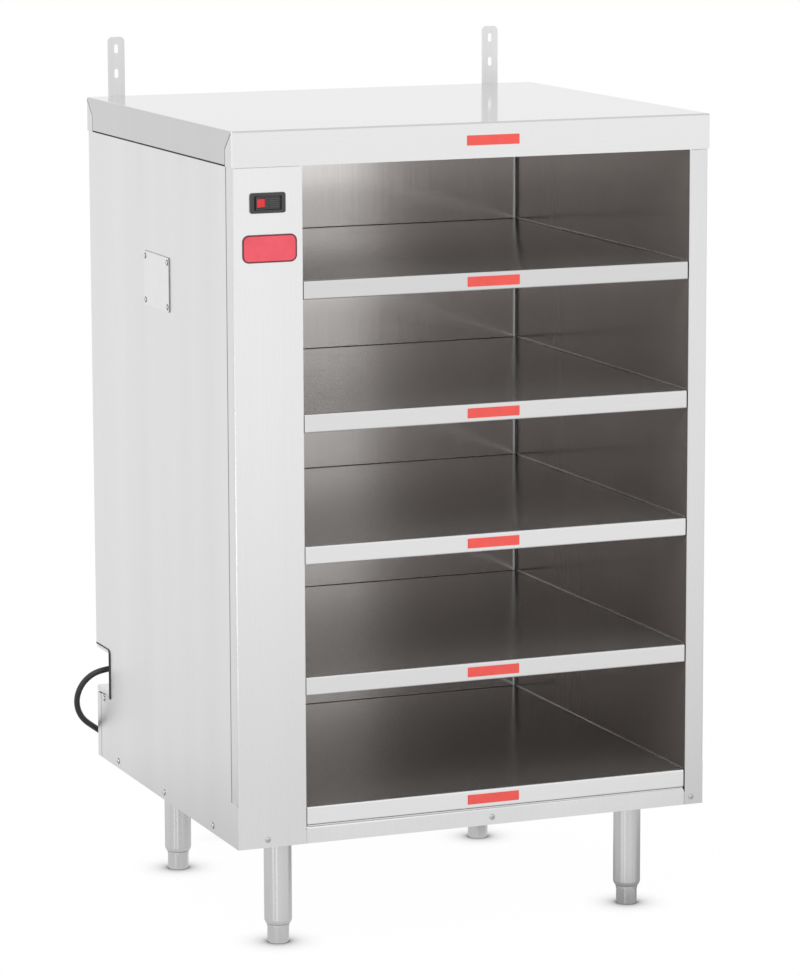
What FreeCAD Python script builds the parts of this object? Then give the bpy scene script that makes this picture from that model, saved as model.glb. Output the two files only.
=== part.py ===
import FreeCAD, Part
import math
import os

import Sketcher

# Heated holding shelf: a stainless cabinet on four legs, open at the front, with five heated
# shelves, a control column on the left, a folded top cover and two wall straps at the rear.
# Millimetres. X runs to the right, Y to the rear and Z up; the origin is on the floor under
# the middle of the cabinet.

SHELF_COUNT = 5
TURNS_PER_LAYER = 1.75
ARC_SHARE = 0.45
GAP_SPACING = 2.0

# Driving sizes
SIZES = [
    # cabinet
    ("body_width", 686.0),
    ("body_depth", 604.0),
    ("leg_height", 152.0),
    ("apron_height", 25.0),
    ("shelf_lip", 25.0),
    ("clear_height", 152.4),
    ("cap_depth", 48.0),
    ("sheet_gauge", 1.2),
    ("column_width", 97.0),
    ("stile_width", 27.4),
    ("rear_gap", 14.0),
    ("seam_gap", 0.8),
    # folds of the outer skin
    ("column_return", 25.0),
    ("return_foot", 60.0),
    ("rear_return", 18.0),
    ("tongue_lap", 10.0),
    ("rear_flange", 18.0),
    ("wall_flange", 15.0),
    ("wall_lap", 9.0),
    ("cap_gap", 0.6),
    ("cap_tab", 25.0),
    ("cap_tab_slant", 24.0),
    ("cap_slit", 0.7),
    ("lip_gap", 2.2),
    ("apron_return", 13.0),
    ("apron_end_gap", 1.5),
    ("flange_clear", 3.0),
    ("header_reveal", 1.0),
    ("ceiling_flange", 12.0),
    # shelves
    ("lip_setback", 1.0),
    ("lip_end_gap", 1.6),
    ("lip_relief", 16.0),
    ("lip_return", 13.0),
    ("closure_flange", 3.5),
    ("heater_inset", 16.0),
    ("heater_thickness", 2.5),
    ("thermostat_radius", 8.0),
    ("thermostat_height", 9.0),
    ("thermostat_inset", 34.0),
    ("rivet_radius", 2.0),
    ("rivet_head_radius", 3.6),
    ("rivet_head", 0.8),
    ("rivet_inset", 80.0),
    ("hole_clearance", 0.15),
    ("blanket_clear", 4.0),
    # screws
    ("screw_radius", 2.0),
    ("screw_length", 8.0),
    ("screw_head_radius", 3.5),
    ("screw_crown_radius", 2.4),
    ("screw_head", 2.0),
    ("screw_rise", 10.6),
    ("side_screw_front", 102.0),
    ("side_screw_rear", 95.0),
    ("column_screw_inset", 42.0),
    ("apron_screw_inset", 368.0),
    ("stile_screw_inset", 17.5),
    ("rear_screw_inset", 60.0),
    # legs and feet
    ("leg_radius", 19.0),
    ("leg_wall", 1.8),
    ("leg_taper", 7.0),
    ("leg_end_plate", 6.0),
    ("leg_stud_radius", 6.0),
    ("leg_stud_length", 19.0),
    ("leg_bush_height", 25.0),
    ("leg_bush_rise", 70.0),
    ("foot_radius", 15.3),
    ("foot_exposed", 26.0),
    ("foot_inside", 26.0),
    ("foot_flats", 28.0),
    ("foot_flat_height", 22.0),
    ("foot_chamfer", 1.8),
    ("foot_stem_radius", 8.0),
    ("foot_stem_length", 60.0),
    ("foot_clearance", 0.3),
    ("front_leg_inset", 82.0),
    ("front_leg_setback", 72.0),
    ("rear_left_leg_inset", 84.0),
    ("rear_right_leg_inset", 130.0),
    ("rear_leg_setback", 110.0),
    ("mount_plate", 80.0),
    ("mount_plate_gauge", 4.0),
    ("nut_flats", 19.0),
    ("nut_height", 10.0),
    # wall straps
    ("strap_width", 25.0),
    ("strap_gauge", 2.0),
    ("strap_rise", 84.0),
    ("strap_foot", 6.0),
    ("strap_corner", 7.0),
    ("strap_slot_radius", 3.0),
    ("strap_slot_length", 13.0),
    ("strap_slot_low", 32.0),
    ("strap_slot_pitch", 35.0),
    ("strap_screw_low", 9.0),
    ("strap_screw_pitch", 20.0),
    ("left_strap_inset", 43.6),
    ("right_strap_inset", 63.2),
    # rocker switch
    ("switch_drop", 95.0),
    ("bezel_width", 49.7),
    ("bezel_height", 27.0),
    ("bezel_proud", 2.4),
    ("bezel_corner", 3.0),
    ("switch_body_width", 44.0),
    ("switch_body_height", 22.0),
    ("switch_body_depth", 30.0),
    ("switch_clearance", 0.2),
    ("well_width", 38.0),
    ("well_height", 18.6),
    ("well_depth", 15.0),
    ("rocker_half", 18.0),
    ("rocker_height", 17.8),
    ("rocker_middle", 2.5),
    ("rocker_end", 5.0),
    ("rocker_keel", 4.0),
    ("rocker_keel_half", 4.0),
    ("rocker_axis_depth", 3.0),
    ("rocker_pin_radius", 1.5),
    ("rocker_pin_length", 20.6),
    ("rocker_pin_clearance", 0.15),
    ("rocker_tilt", 8.0),
    ("lens_start", 4.0),
    ("lens_end", 16.6),
    ("lens_height", 14.0),
    ("lens_depth", 1.4),
    # plates on the outside
    ("badge_width", 76.0),
    ("badge_height", 37.0),
    ("badge_corner", 9.0),
    ("badge_gauge", 1.2),
    ("badge_drop", 155.0),
    ("badge_offset", 2.5),
    ("marker_width", 76.0),
    ("marker_height", 13.5),
    ("marker_gauge", 0.3),
    ("header_marker_inset", 368.0),
    ("shelf_marker_inset", 370.0),
    ("cover_width", 106.0),
    ("cover_height", 75.0),
    ("cover_corner", 4.0),
    ("cover_gauge", 1.5),
    ("cover_inset", 308.5),
    ("cover_drop", 230.5),
    ("cover_lap", 12.0),
    ("cover_screw_inset", 7.0),
    ("cover_screw_radius", 1.6),
    ("cover_screw_head_radius", 3.0),
    ("cover_screw_crown_radius", 2.2),
    ("cover_screw_head", 1.6),
    ("cover_screw_length", 7.0),
    # parts in the control column
    ("bracket_clear", 4.0),
    ("bracket_lap", 15.0),
    ("bracket_overlap", 10.0),
    ("terminal_width", 20.0),
    ("terminal_length", 90.0),
    ("terminal_height", 50.0),
    ("trunk_radius", 5.0),
    ("trunk_setback", 60.0),
    ("trunk_head", 30.0),
    ("lead_radius", 3.0),
    ("lead_stub", 9.0),
    ("grommet_radius", 6.0),
    ("grommet_flange_radius", 7.5),
    ("grommet_flange", 0.8),
    # cord pocket at the rear left corner
    ("notch_depth", 62.0),
    ("notch_height", 72.0),
    ("notch_rise", 95.0),
    ("notch_corner", 7.0),
    ("trim_gauge", 1.5),
    ("trim_front", 8.0),
    ("trim_top", 1.5),
    ("trim_hidden", 6.0),
    ("pocket_front", 6.0),
    ("pocket_top", 7.0),
    ("pocket_sill", 8.0),
    ("pocket_hidden", 14.0),
    ("pocket_depth", 45.0),
    ("pocket_overhang", 6.0),
    ("pocket_screw_setback", 32.0),
    ("pocket_screw_drop", 4.6),
    ("relief_setback", 14.0),
    ("relief_rise", 130.0),
    ("relief_flange_radius", 9.5),
    ("relief_flange", 3.0),
    ("relief_nose", 11.5),
    ("relief_nose_radius", 7.6),
    ("relief_shank_radius", 7.0),
    ("relief_shank", 9.0),
    # power cord, laid behind the cabinet
    ("cord_diameter", 8.6),
    ("coil_x", 105.0),
    ("coil_behind", 90.0),
    ("coil_radius", 58.0),
    ("coil_pitch", 9.4),
    ("coil_layer", 9.4),
    ("coil_approach", 48.0),
    ("tie_gauge", 1.0),
    ("tie_width", 12.0),
    ("tie_gap", 0.6),
    ("tail_length", 34.0),
    ("plug_width", 29.4),
    ("plug_length", 30.0),
    ("plug_corner", 5.0),
    ("plug_sleeve", 16.0),
    ("plug_sleeve_radius", 7.0),
    ("prong_pitch", 12.7),
    ("prong_width", 6.3),
    ("prong_gauge", 1.5),
    ("prong_length", 17.5),
    ("ground_radius", 2.4),
    ("ground_length", 20.0),
    ("ground_offset", 11.9),
]


class Size:
    """A number together with the sheet expression that gives it."""

    def __init__(self, value, text):
        self.value = value
        self.text = text

    def __add__(self, other):
        other = as_size(other)
        return Size(self.value + other.value, f"({self.text} + {other.text})")

    def __radd__(self, other):
        return as_size(other) + self

    def __sub__(self, other):
        other = as_size(other)
        return Size(self.value - other.value, f"({self.text} - {other.text})")

    def __rsub__(self, other):
        return as_size(other) - self

    def __mul__(self, other):
        other = as_size(other)
        return Size(self.value * other.value, f"({self.text} * {other.text})")

    def __rmul__(self, other):
        return as_size(other) * self

    def __truediv__(self, other):
        other = as_size(other)
        return Size(self.value / other.value, f"({self.text} / {other.text})")

    def __neg__(self):
        return Size(-self.value, f"(-{self.text})")


def as_size(thing):
    if isinstance(thing, Size):
        return thing
    return Size(float(thing), f"({float(thing)!r})")


class NamedSizes:
    """The driving sizes, by their names in the sheet."""


doc = FreeCAD.newDocument("heated_holding_shelf")
sheet = doc.addObject("Spreadsheet::Sheet", "sizes")
for row, (alias, number) in enumerate(SIZES, start=1):
    sheet.set(f"A{row}", alias)
    sheet.set(f"B{row}", str(number))
    sheet.setAlias(f"B{row}", alias)
doc.recompute()

s = NamedSizes()
for alias, number in SIZES:
    setattr(s, alias, Size(float(sheet.get(alias)), f"sizes.{alias}"))

finished = []
gauge = s.sheet_gauge

# Planes that several pieces share
left = -s.body_width / 2
right = s.body_width / 2
front = -s.body_depth / 2
rear = s.body_depth / 2
bottom = s.leg_height
shelf_pitch = s.shelf_lip + s.clear_height
opening_top = bottom + s.apron_height + shelf_pitch * SHELF_COUNT
top = opening_top + s.cap_depth
cap_under = top - gauge
cap_proud = s.cap_gap + gauge
open_left = left + s.column_width
open_right = right - s.stile_width
inner_rear = rear - s.rear_gap
shelf_front = front + s.lip_setback
return_edge = front + s.column_return
rear_return_edge = rear - s.rear_return
base_flange_top = bottom + s.apron_height - s.lip_gap - gauge - s.flange_clear
notch_bottom = bottom + s.notch_rise
notch_top = notch_bottom + s.notch_height
notch_front = rear - s.notch_depth
screw_z = bottom + s.screw_rise
column_middle = left + s.column_width / 2
relief_end = left + s.pocket_depth + s.relief_shank
trunk_x = relief_end + s.lead_stub
trunk_y = rear - s.trunk_setback
web_x = trunk_x + s.lead_radius + s.bracket_clear

# Directions that a rod can run in
ALONG = {
    "+x": FreeCAD.Rotation(FreeCAD.Vector(0, 0, 1), FreeCAD.Vector(1, 0, 0)),
    "-x": FreeCAD.Rotation(FreeCAD.Vector(0, 0, 1), FreeCAD.Vector(-1, 0, 0)),
    "+y": FreeCAD.Rotation(FreeCAD.Vector(0, 0, 1), FreeCAD.Vector(0, 1, 0)),
    "-y": FreeCAD.Rotation(FreeCAD.Vector(0, 0, 1), FreeCAD.Vector(0, -1, 0)),
    "+z": FreeCAD.Rotation(),
}


def place(thing, x, y, z, turn=None):
    """Bind an object's place to sheet expressions."""
    thing.Placement = FreeCAD.Placement(FreeCAD.Vector(0, 0, 0), turn or FreeCAD.Rotation())
    for axis, size in zip("xyz", (x, y, z)):
        thing.setExpression(f"Placement.Base.{axis}", as_size(size).text)
    return thing


def box(x0, x1, y0, y1, z0, z1):
    """A block between six planes."""
    block = doc.addObject("Part::Box", "block")
    block.setExpression("Length", (as_size(x1) - x0).text)
    block.setExpression("Width", (as_size(y1) - y0).text)
    block.setExpression("Height", (as_size(z1) - z0).text)
    return place(block, x0, y0, z0)


def side_box(side, inner0, inner1, y0, y1, z0, z1):
    """A block whose X planes are measured inwards from the left or right outer face."""
    if side == "left":
        return box(left + inner0, left + inner1, y0, y1, z0, z1)
    return box(right - inner1, right - inner0, y0, y1, z0, z1)


def rod(radius, length, x, y, z, along):
    """A cylinder that starts at a point and runs along an axis."""
    cylinder = doc.addObject("Part::Cylinder", "rod")
    cylinder.setExpression("Radius", as_size(radius).text)
    cylinder.setExpression("Height", as_size(length).text)
    return place(cylinder, x, y, z, ALONG[along])


def taper(radius, end_radius, length, x, y, z, along):
    """A cone frustum that starts at a point and runs along an axis."""
    cone = doc.addObject("Part::Cone", "taper")
    cone.setExpression("Radius1", as_size(radius).text)
    cone.setExpression("Radius2", as_size(end_radius).text)
    cone.setExpression("Height", as_size(length).text)
    return place(cone, x, y, z, ALONG[along])


def hexagon(across_flats, height, x, y, z):
    prism = doc.addObject("Part::Prism", "hexagon")
    prism.Polygon = 6
    prism.setExpression("Circumradius", (as_size(across_flats) / math.sqrt(3)).text)
    prism.setExpression("Height", as_size(height).text)
    return place(prism, x, y, z)


def fuse(pieces):
    if len(pieces) == 1:
        return pieces[0]
    joined = doc.addObject("Part::MultiFuse", "joined")
    joined.Shapes = pieces
    joined.Refine = True
    return joined


def cut(piece, tools):
    trimmed = doc.addObject("Part::Cut", "trimmed")
    trimmed.Base = piece
    trimmed.Tool = fuse(tools)
    trimmed.Refine = True
    return trimmed


def common(piece, other):
    shared = doc.addObject("Part::Common", "shared")
    shared.Base = piece
    shared.Tool = other
    return shared


def group(pieces):
    """Several separate solids in one sub-part."""
    together = doc.addObject("Part::Compound", "group")
    together.Links = pieces
    return together


def finish(thing, name):
    """Name an object as a finished sub-part."""
    thing.Label = name
    finished.append(thing)
    return thing


def new_body(name):
    return doc.addObject("PartDesign::Body", name)


def sketch_on(body, role):
    sketch = body.newObject("Sketcher::SketchObject", "sketch")
    plane = [item for item in body.Origin.OriginFeatures if item.Role == role][0]
    sketch.AttachmentSupport = [(plane, "")]
    sketch.MapMode = "FlatFace"
    return sketch


def dimension(sketch, kind, geometry, point, size):
    """Bind a sketch point's distance from the sketch origin to a sheet expression."""
    size = as_size(size)
    index = sketch.addConstraint(Sketcher.Constraint(kind, -1, 1, geometry, point, size.value))
    sketch.setExpression(f"Constraints[{index}]", size.text)


def outline(sketch, corners):
    """A closed polygon whose corners are bound to sheet expressions."""
    corners = [(as_size(u), as_size(v)) for u, v in corners]
    count = len(corners)
    first = sketch.GeometryCount
    for i in range(count):
        here = corners[i]
        there = corners[(i + 1) % count]
        start = FreeCAD.Vector(here[0].value, here[1].value, 0)
        end = FreeCAD.Vector(there[0].value, there[1].value, 0)
        sketch.addGeometry(Part.LineSegment(start, end), False)
    for i in range(count):
        after = first + (i + 1) % count
        sketch.addConstraint(Sketcher.Constraint("Coincident", first + i, 2, after, 1))
    for i in range(count):
        dimension(sketch, "DistanceX", first + i, 1, corners[i][0])
        dimension(sketch, "DistanceY", first + i, 1, corners[i][1])


def rectangle(sketch, u0, v0, u1, v1):
    outline(sketch, [(u0, v0), (u1, v0), (u1, v1), (u0, v1)])


def circle(sketch, u, v, radius):
    """A circle whose centre and radius are bound to sheet expressions."""
    u = as_size(u)
    v = as_size(v)
    radius = as_size(radius)
    centre = FreeCAD.Vector(u.value, v.value, 0)
    index = sketch.addGeometry(Part.Circle(centre, FreeCAD.Vector(0, 0, 1), radius.value), False)
    dimension(sketch, "DistanceX", index, 3, u)
    dimension(sketch, "DistanceY", index, 3, v)
    bound = sketch.addConstraint(Sketcher.Constraint("Radius", index, radius.value))
    sketch.setExpression(f"Constraints[{bound}]", radius.text)


def slot(sketch, u, v_low, v_high, radius):
    """An upright slot between two arc centres."""
    u = as_size(u)
    v_low = as_size(v_low)
    v_high = as_size(v_high)
    radius = as_size(radius)
    normal = FreeCAD.Vector(0, 0, 1)
    low = Part.Circle(FreeCAD.Vector(u.value, v_low.value, 0), normal, radius.value)
    high = Part.Circle(FreeCAD.Vector(u.value, v_high.value, 0), normal, radius.value)
    low_arc = sketch.addGeometry(Part.ArcOfCircle(low, math.pi, 2 * math.pi), False)
    right_line = sketch.addGeometry(Part.LineSegment(
        FreeCAD.Vector(u.value + radius.value, v_low.value, 0),
        FreeCAD.Vector(u.value + radius.value, v_high.value, 0)), False)
    high_arc = sketch.addGeometry(Part.ArcOfCircle(high, 0, math.pi), False)
    left_line = sketch.addGeometry(Part.LineSegment(
        FreeCAD.Vector(u.value - radius.value, v_high.value, 0),
        FreeCAD.Vector(u.value - radius.value, v_low.value, 0)), False)
    sketch.addConstraint(Sketcher.Constraint("Tangent", low_arc, 2, right_line, 1))
    sketch.addConstraint(Sketcher.Constraint("Tangent", right_line, 2, high_arc, 1))
    sketch.addConstraint(Sketcher.Constraint("Tangent", high_arc, 2, left_line, 1))
    sketch.addConstraint(Sketcher.Constraint("Tangent", left_line, 2, low_arc, 1))
    for arc, v in ((low_arc, v_low), (high_arc, v_high)):
        dimension(sketch, "DistanceX", arc, 3, u)
        dimension(sketch, "DistanceY", arc, 3, v)
    bound = sketch.addConstraint(Sketcher.Constraint("Radius", low_arc, radius.value))
    sketch.setExpression(f"Constraints[{bound}]", radius.text)


def pad(body, sketch, length, reverse=False):
    feature = body.newObject("PartDesign::Pad", "pad")
    feature.Profile = sketch
    feature.setExpression("Length", as_size(length).text)
    feature.Reversed = reverse
    doc.recompute()
    return feature


def pocket_through(body, sketch):
    feature = body.newObject("PartDesign::Pocket", "pocket")
    feature.Profile = sketch
    feature.Type = "ThroughAll"
    feature.Midplane = True
    doc.recompute()
    return feature


def revolve(body, sketch, axis):
    feature = body.newObject("PartDesign::Revolution", "revolution")
    feature.Profile = sketch
    feature.ReferenceAxis = (sketch, [axis])
    feature.Angle = 360
    doc.recompute()
    return feature


def round_edges(body, feature, radius, along, wanted=None):
    """Fillet the straight edges of a feature that run along a direction."""
    names = []
    for index, edge in enumerate(feature.Shape.Edges, start=1):
        if edge.Curve.TypeId != "Part::GeomLine":
            continue
        straight = edge.Vertexes[1].Point - edge.Vertexes[0].Point
        runs_along = abs(straight.normalize().dot(along)) > 0.999
        if runs_along and (wanted is None or wanted(edge.CenterOfMass)):
            names.append(f"Edge{index}")
    feature_round = body.newObject("PartDesign::Fillet", "rounding")
    feature_round.Base = (feature, names)
    feature_round.setExpression("Radius", as_size(radius).text)
    doc.recompute()
    return feature_round


def screw(x, y, z, along):
    """A panel screw: a domed head on the face at a point, and its shank into the face."""
    back = {"+x": "-x", "-x": "+x", "+y": "-y", "-y": "+y"}[along]
    head = taper(s.screw_head_radius, s.screw_crown_radius, s.screw_head, x, y, z, back)
    shank = rod(s.screw_radius, s.screw_length, x, y, z, along)
    return fuse([head, shank])


def screw_hole(x, y, z, along, reach):
    """A clearance hole for a panel screw, through everything within its reach."""
    offset = {"+x": (-1, 0), "-x": (1, 0), "+y": (0, -1), "-y": (0, 1)}[along]
    start_x = x + reach * offset[0]
    start_y = y + reach * offset[1]
    return rod(s.screw_radius + s.hole_clearance, reach * 2, start_x, start_y, z, along)


# Places of the screws that hold the outer skin to the base pan
SIDE_SCREW_Y = [
    front + s.side_screw_front,
    (front + s.side_screw_front + rear - s.side_screw_rear) / 2,
    rear - s.side_screw_rear,
]
FRONT_SCREW_X = [left + s.column_screw_inset, left + s.apron_screw_inset, right - s.stile_screw_inset]
REAR_SCREW_X = [left + s.rear_screw_inset, as_size(0), right - s.rear_screw_inset]
SIDE_INWARD = {"left": "+x", "right": "-x"}
SIDE_FACE = {"left": left, "right": right}
screw_reach = gauge * 4

LEGS = {
    "front_left": (left + s.front_leg_inset, front + s.front_leg_setback),
    "front_right": (right - s.front_leg_inset, front + s.front_leg_setback),
    "rear_left": (left + s.rear_left_leg_inset, rear - s.rear_leg_setback),
    "rear_right": (right - s.rear_right_leg_inset, rear - s.rear_leg_setback),
}
STRAPS = {
    "left": left + s.left_strap_inset,
    "right": right - s.right_strap_inset,
}
strap_bottom = opening_top + s.strap_foot
STRAP_SCREW_Z = [strap_bottom + s.strap_screw_low + s.strap_screw_pitch * i for i in range(2)]


def base_screw_holes():
    holes = []
    for side in ("left", "right"):
        for y in SIDE_SCREW_Y:
            holes.append(screw_hole(SIDE_FACE[side], y, screw_z, SIDE_INWARD[side], screw_reach))
    for x in FRONT_SCREW_X:
        holes.append(screw_hole(x, front, screw_z, "+y", screw_reach))
    for x in REAR_SCREW_X:
        holes.append(screw_hole(x, rear, screw_z, "-y", screw_reach))
    return holes


def build_base_pan():
    x0 = left + gauge
    x1 = right - gauge
    y0 = front + gauge
    y1 = rear - gauge
    pan = fuse([
        box(x0, x1, y0, y1, bottom, bottom + gauge),
        box(x0, x0 + gauge, y0, y1, bottom, base_flange_top),
        box(x1 - gauge, x1, y0, y1, bottom, base_flange_top),
        box(x0, x1, y0, y0 + gauge, bottom, base_flange_top),
        box(x0, x1, y1 - gauge, y1, bottom, base_flange_top),
    ])
    holes = base_screw_holes()
    for x, y in LEGS.values():
        stud_hole = rod(s.leg_stud_radius + s.hole_clearance, gauge * 3, x, y, bottom - gauge, "+z")
        holes.append(stud_hole)
    finish(cut(pan, holes), "base_pan")


def build_leg_fixings():
    """A square plate and a nut for each leg's stud, on top of the base pan."""
    plates = []
    nuts = []
    plate_z = bottom + gauge
    nut_z = plate_z + s.mount_plate_gauge
    half = s.mount_plate / 2
    bore = s.leg_stud_radius + s.hole_clearance
    for x, y in LEGS.values():
        plate = box(x - half, x + half, y - half, y + half, plate_z, nut_z)
        plates.append(cut(plate, [rod(bore, s.mount_plate_gauge * 3, x, y, bottom, "+z")]))
        nut = hexagon(s.nut_flats, s.nut_height, x, y, nut_z)
        nuts.append(cut(nut, [rod(bore, s.nut_height * 3, x, y, bottom, "+z")]))
    finish(group(plates), "leg_mount_plates")
    finish(group(nuts), "leg_nuts")


def rounded_notch():
    """The notch in the left panel's rear edge, with two round corners, as a cutting tool."""
    x0 = left - gauge
    x1 = left + s.rear_flange + gauge
    r = s.notch_corner
    past = rear + gauge
    return fuse([
        box(x0, x1, notch_front + r, past, notch_bottom, notch_top),
        box(x0, x1, notch_front, past, notch_bottom + r, notch_top - r),
        rod(r, x1 - x0, x0, notch_front + r, notch_bottom + r, "+x"),
        rod(r, x1 - x0, x0, notch_front + r, notch_top - r, "+x"),
    ])


def cover_screw_places():
    y = front + s.cover_inset
    z = top - s.cover_drop
    across = s.cover_width / 2 - s.cover_screw_inset
    up = s.cover_height / 2 - s.cover_screw_inset
    return [(y - across, z - up), (y + across, z - up), (y - across, z + up), (y + across, z + up)]


def pocket_screw_place():
    return (rear - s.pocket_screw_setback, notch_bottom - s.pocket_screw_drop)


def build_side_panel(side):
    lap_start = return_edge - s.tongue_lap
    lap_end = return_edge + s.seam_gap + s.tongue_lap
    rear_lap_start = rear_return_edge - s.seam_gap - s.tongue_lap
    rear_lap_end = rear_return_edge + s.tongue_lap
    skin_front = return_edge + s.seam_gap
    tongue_z = bottom + s.return_foot - s.tongue_lap
    flange_z = notch_top + s.pocket_hidden + gauge
    pieces = [
        side_box(side, 0, gauge, skin_front, rear, notch_bottom, cap_under),
        side_box(side, 0, gauge, skin_front, rear_return_edge - s.seam_gap, bottom, notch_bottom),
        side_box(side, 0, gauge, front + gauge, skin_front, bottom, bottom + s.return_foot),
        side_box(side, gauge, gauge * 2, lap_start, lap_end, tongue_z, cap_under),
        side_box(side, gauge, gauge * 2, rear_lap_start, rear_lap_end, base_flange_top,
                 notch_bottom - s.pocket_hidden),
        side_box(side, gauge, s.rear_flange, rear - gauge * 2, rear - gauge, flange_z, cap_under),
    ]
    tools = []
    for y in SIDE_SCREW_Y:
        tools.append(screw_hole(SIDE_FACE[side], y, screw_z, SIDE_INWARD[side], screw_reach))
    if side == "left":
        y = front + s.cover_inset
        z = top - s.cover_drop
        across = s.cover_width / 2 - s.cover_lap
        up = s.cover_height / 2 - s.cover_lap
        tools.append(rounded_notch())
        tools.append(box(left - gauge, left + gauge * 2, y - across, y + across, z - up, z + up))
        bore = s.cover_screw_radius + s.hole_clearance
        for screw_y, screw_up in cover_screw_places():
            tools.append(rod(bore, gauge * 3, left - gauge, screw_y, screw_up, "+x"))
        y, z = pocket_screw_place()
        tools.append(screw_hole(left, y, z, "+x", screw_reach))
    finish(cut(fuse(pieces), tools), f"side_panel_{side}")


def build_rear_panel():
    pieces = [box(left + gauge, right - gauge, rear - gauge, rear, bottom, cap_under)]
    for side in ("left", "right"):
        pieces.append(side_box(side, 0, gauge, rear_return_edge, rear, bottom, notch_bottom - s.seam_gap))
    tools = [screw_hole(x, rear, screw_z, "-y", screw_reach) for x in REAR_SCREW_X]
    tools.append(box(left - gauge, left + s.pocket_depth + gauge + s.seam_gap, rear - gauge * 2,
                     rear + gauge, pocket_low - gauge - s.seam_gap, pocket_high + gauge + s.seam_gap))
    tools.append(box(left - gauge, left + pocket_seat + gauge + s.seam_gap, rear - gauge * 2,
                     rear + gauge, notch_bottom - s.seam_gap, notch_top + s.seam_gap))
    for x in STRAPS.values():
        for z in STRAP_SCREW_Z:
            tools.append(screw_hole(x, rear, z, "-y", screw_reach))
    finish(cut(fuse(pieces), tools), "rear_panel")


def build_front_posts():
    """The control column's face and the right stile, each folded round its corner."""
    faces = {
        "control_column": ("left", s.column_width, FRONT_SCREW_X[0]),
        "right_stile": ("right", s.stile_width, FRONT_SCREW_X[2]),
    }
    for name, (side, width, screw_x) in faces.items():
        post = fuse([
            side_box(side, 0, width, front, front + gauge, bottom, cap_under),
            side_box(side, 0, gauge, front, return_edge, bottom + s.return_foot + s.seam_gap, cap_under),
        ])
        tools = [screw_hole(screw_x, front, screw_z, "+y", screw_reach)]
        if side == "left":
            half_width = s.switch_body_width / 2 + s.switch_clearance
            half_height = s.switch_body_height / 2 + s.switch_clearance
            x = column_middle
            z = top - s.switch_drop
            tools.append(box(x - half_width, x + half_width, front - gauge, front + gauge * 2,
                             z - half_height, z + half_height))
        finish(cut(post, tools), name)


def build_front_apron():
    x0 = open_left + s.seam_gap
    x1 = open_right - s.apron_end_gap
    apron_top = bottom + s.apron_height - s.lip_gap
    apron = fuse([
        box(x0, x1, front, front + gauge, bottom, apron_top),
        box(x0, x1, front, front + s.apron_return, apron_top - gauge, apron_top),
    ])
    hole = screw_hole(FRONT_SCREW_X[1], front, screw_z, "+y", screw_reach)
    finish(cut(apron, [hole]), "front_apron")


def cap_slits(side):
    """The cut lines where the side skirt meets the tabs folded round from front and rear."""
    depth = gauge * 2
    outer = left - cap_proud - depth / 2
    if side == "right":
        outer = right + cap_proud - depth * 1.5
    slits = []
    reach = Size(math.hypot(s.cap_tab.value, s.cap_tab_slant.value),
                 f"sqrt({s.cap_tab.text} ^ 2 + {s.cap_tab_slant.text} ^ 2)")
    slope = math.degrees(math.atan2(s.cap_tab_slant.value, s.cap_tab.value))
    skirt_bottom = opening_top - gauge
    for end, facing in ((front - cap_proud, 1), (rear + cap_proud, -1)):
        corner_y = end + s.cap_tab * facing
        fold_z = cap_under - s.cap_tab_slant
        slits.append(box(outer, outer + depth * 2, corner_y - s.cap_slit / 2, corner_y + s.cap_slit / 2,
                         skirt_bottom, fold_z))
        slant = doc.addObject("Part::Box", "slant")
        slant.setExpression("Length", (depth * 2).text)
        slant.setExpression("Width", reach.text)
        slant.setExpression("Height", s.cap_slit.text)
        turn = FreeCAD.Rotation(FreeCAD.Vector(1, 0, 0), -slope)
        start_y = end
        start_z = cap_under
        if facing < 0:
            turn = FreeCAD.Rotation(FreeCAD.Vector(1, 0, 0), slope)
            start_y = corner_y
            start_z = fold_z
        slits.append(place(slant, outer, start_y, start_z - s.cap_slit, turn))
    return slits


def build_top_cover():
    x0 = left - cap_proud
    x1 = right + cap_proud
    y0 = front - cap_proud
    y1 = rear + cap_proud
    cover = fuse([
        box(x0, x1, y0, y1, cap_under, top),
        box(x0, x0 + gauge, y0, y1, opening_top, cap_under),
        box(x1 - gauge, x1, y0, y1, opening_top, cap_under),
        box(x0, x1, y0, y0 + gauge, opening_top, cap_under),
        box(x0, x1, y1 - gauge, y1, opening_top, cap_under),
    ])
    tools = cap_slits("left") + cap_slits("right")
    for x in STRAPS.values():
        for z in STRAP_SCREW_Z:
            tools.append(screw_hole(x, rear, z, "-y", screw_reach))
    finish(cut(cover, tools), "top_cover")


def shelf_bottom(number):
    return bottom + s.apron_height + shelf_pitch * (number - 1)


def shelf_lead_z(number):
    return shelf_bottom(number) + s.shelf_lip / 2


RIVET_Y = [front + s.rivet_inset, inner_rear - s.rivet_inset]


def rivet_holes(face_x):
    holes = []
    for number in range(1, SHELF_COUNT + 1):
        for y in RIVET_Y:
            holes.append(rod(s.rivet_radius + s.hole_clearance, gauge * 6, face_x - gauge * 3, y,
                             shelf_lead_z(number), "+x"))
    return holes


def lead_holes():
    holes = []
    for number in range(1, SHELF_COUNT + 1):
        holes.append(rod(s.grommet_radius, gauge * 6, open_left - gauge * 3, trunk_y,
                         shelf_lead_z(number), "+x"))
    return holes


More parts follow.
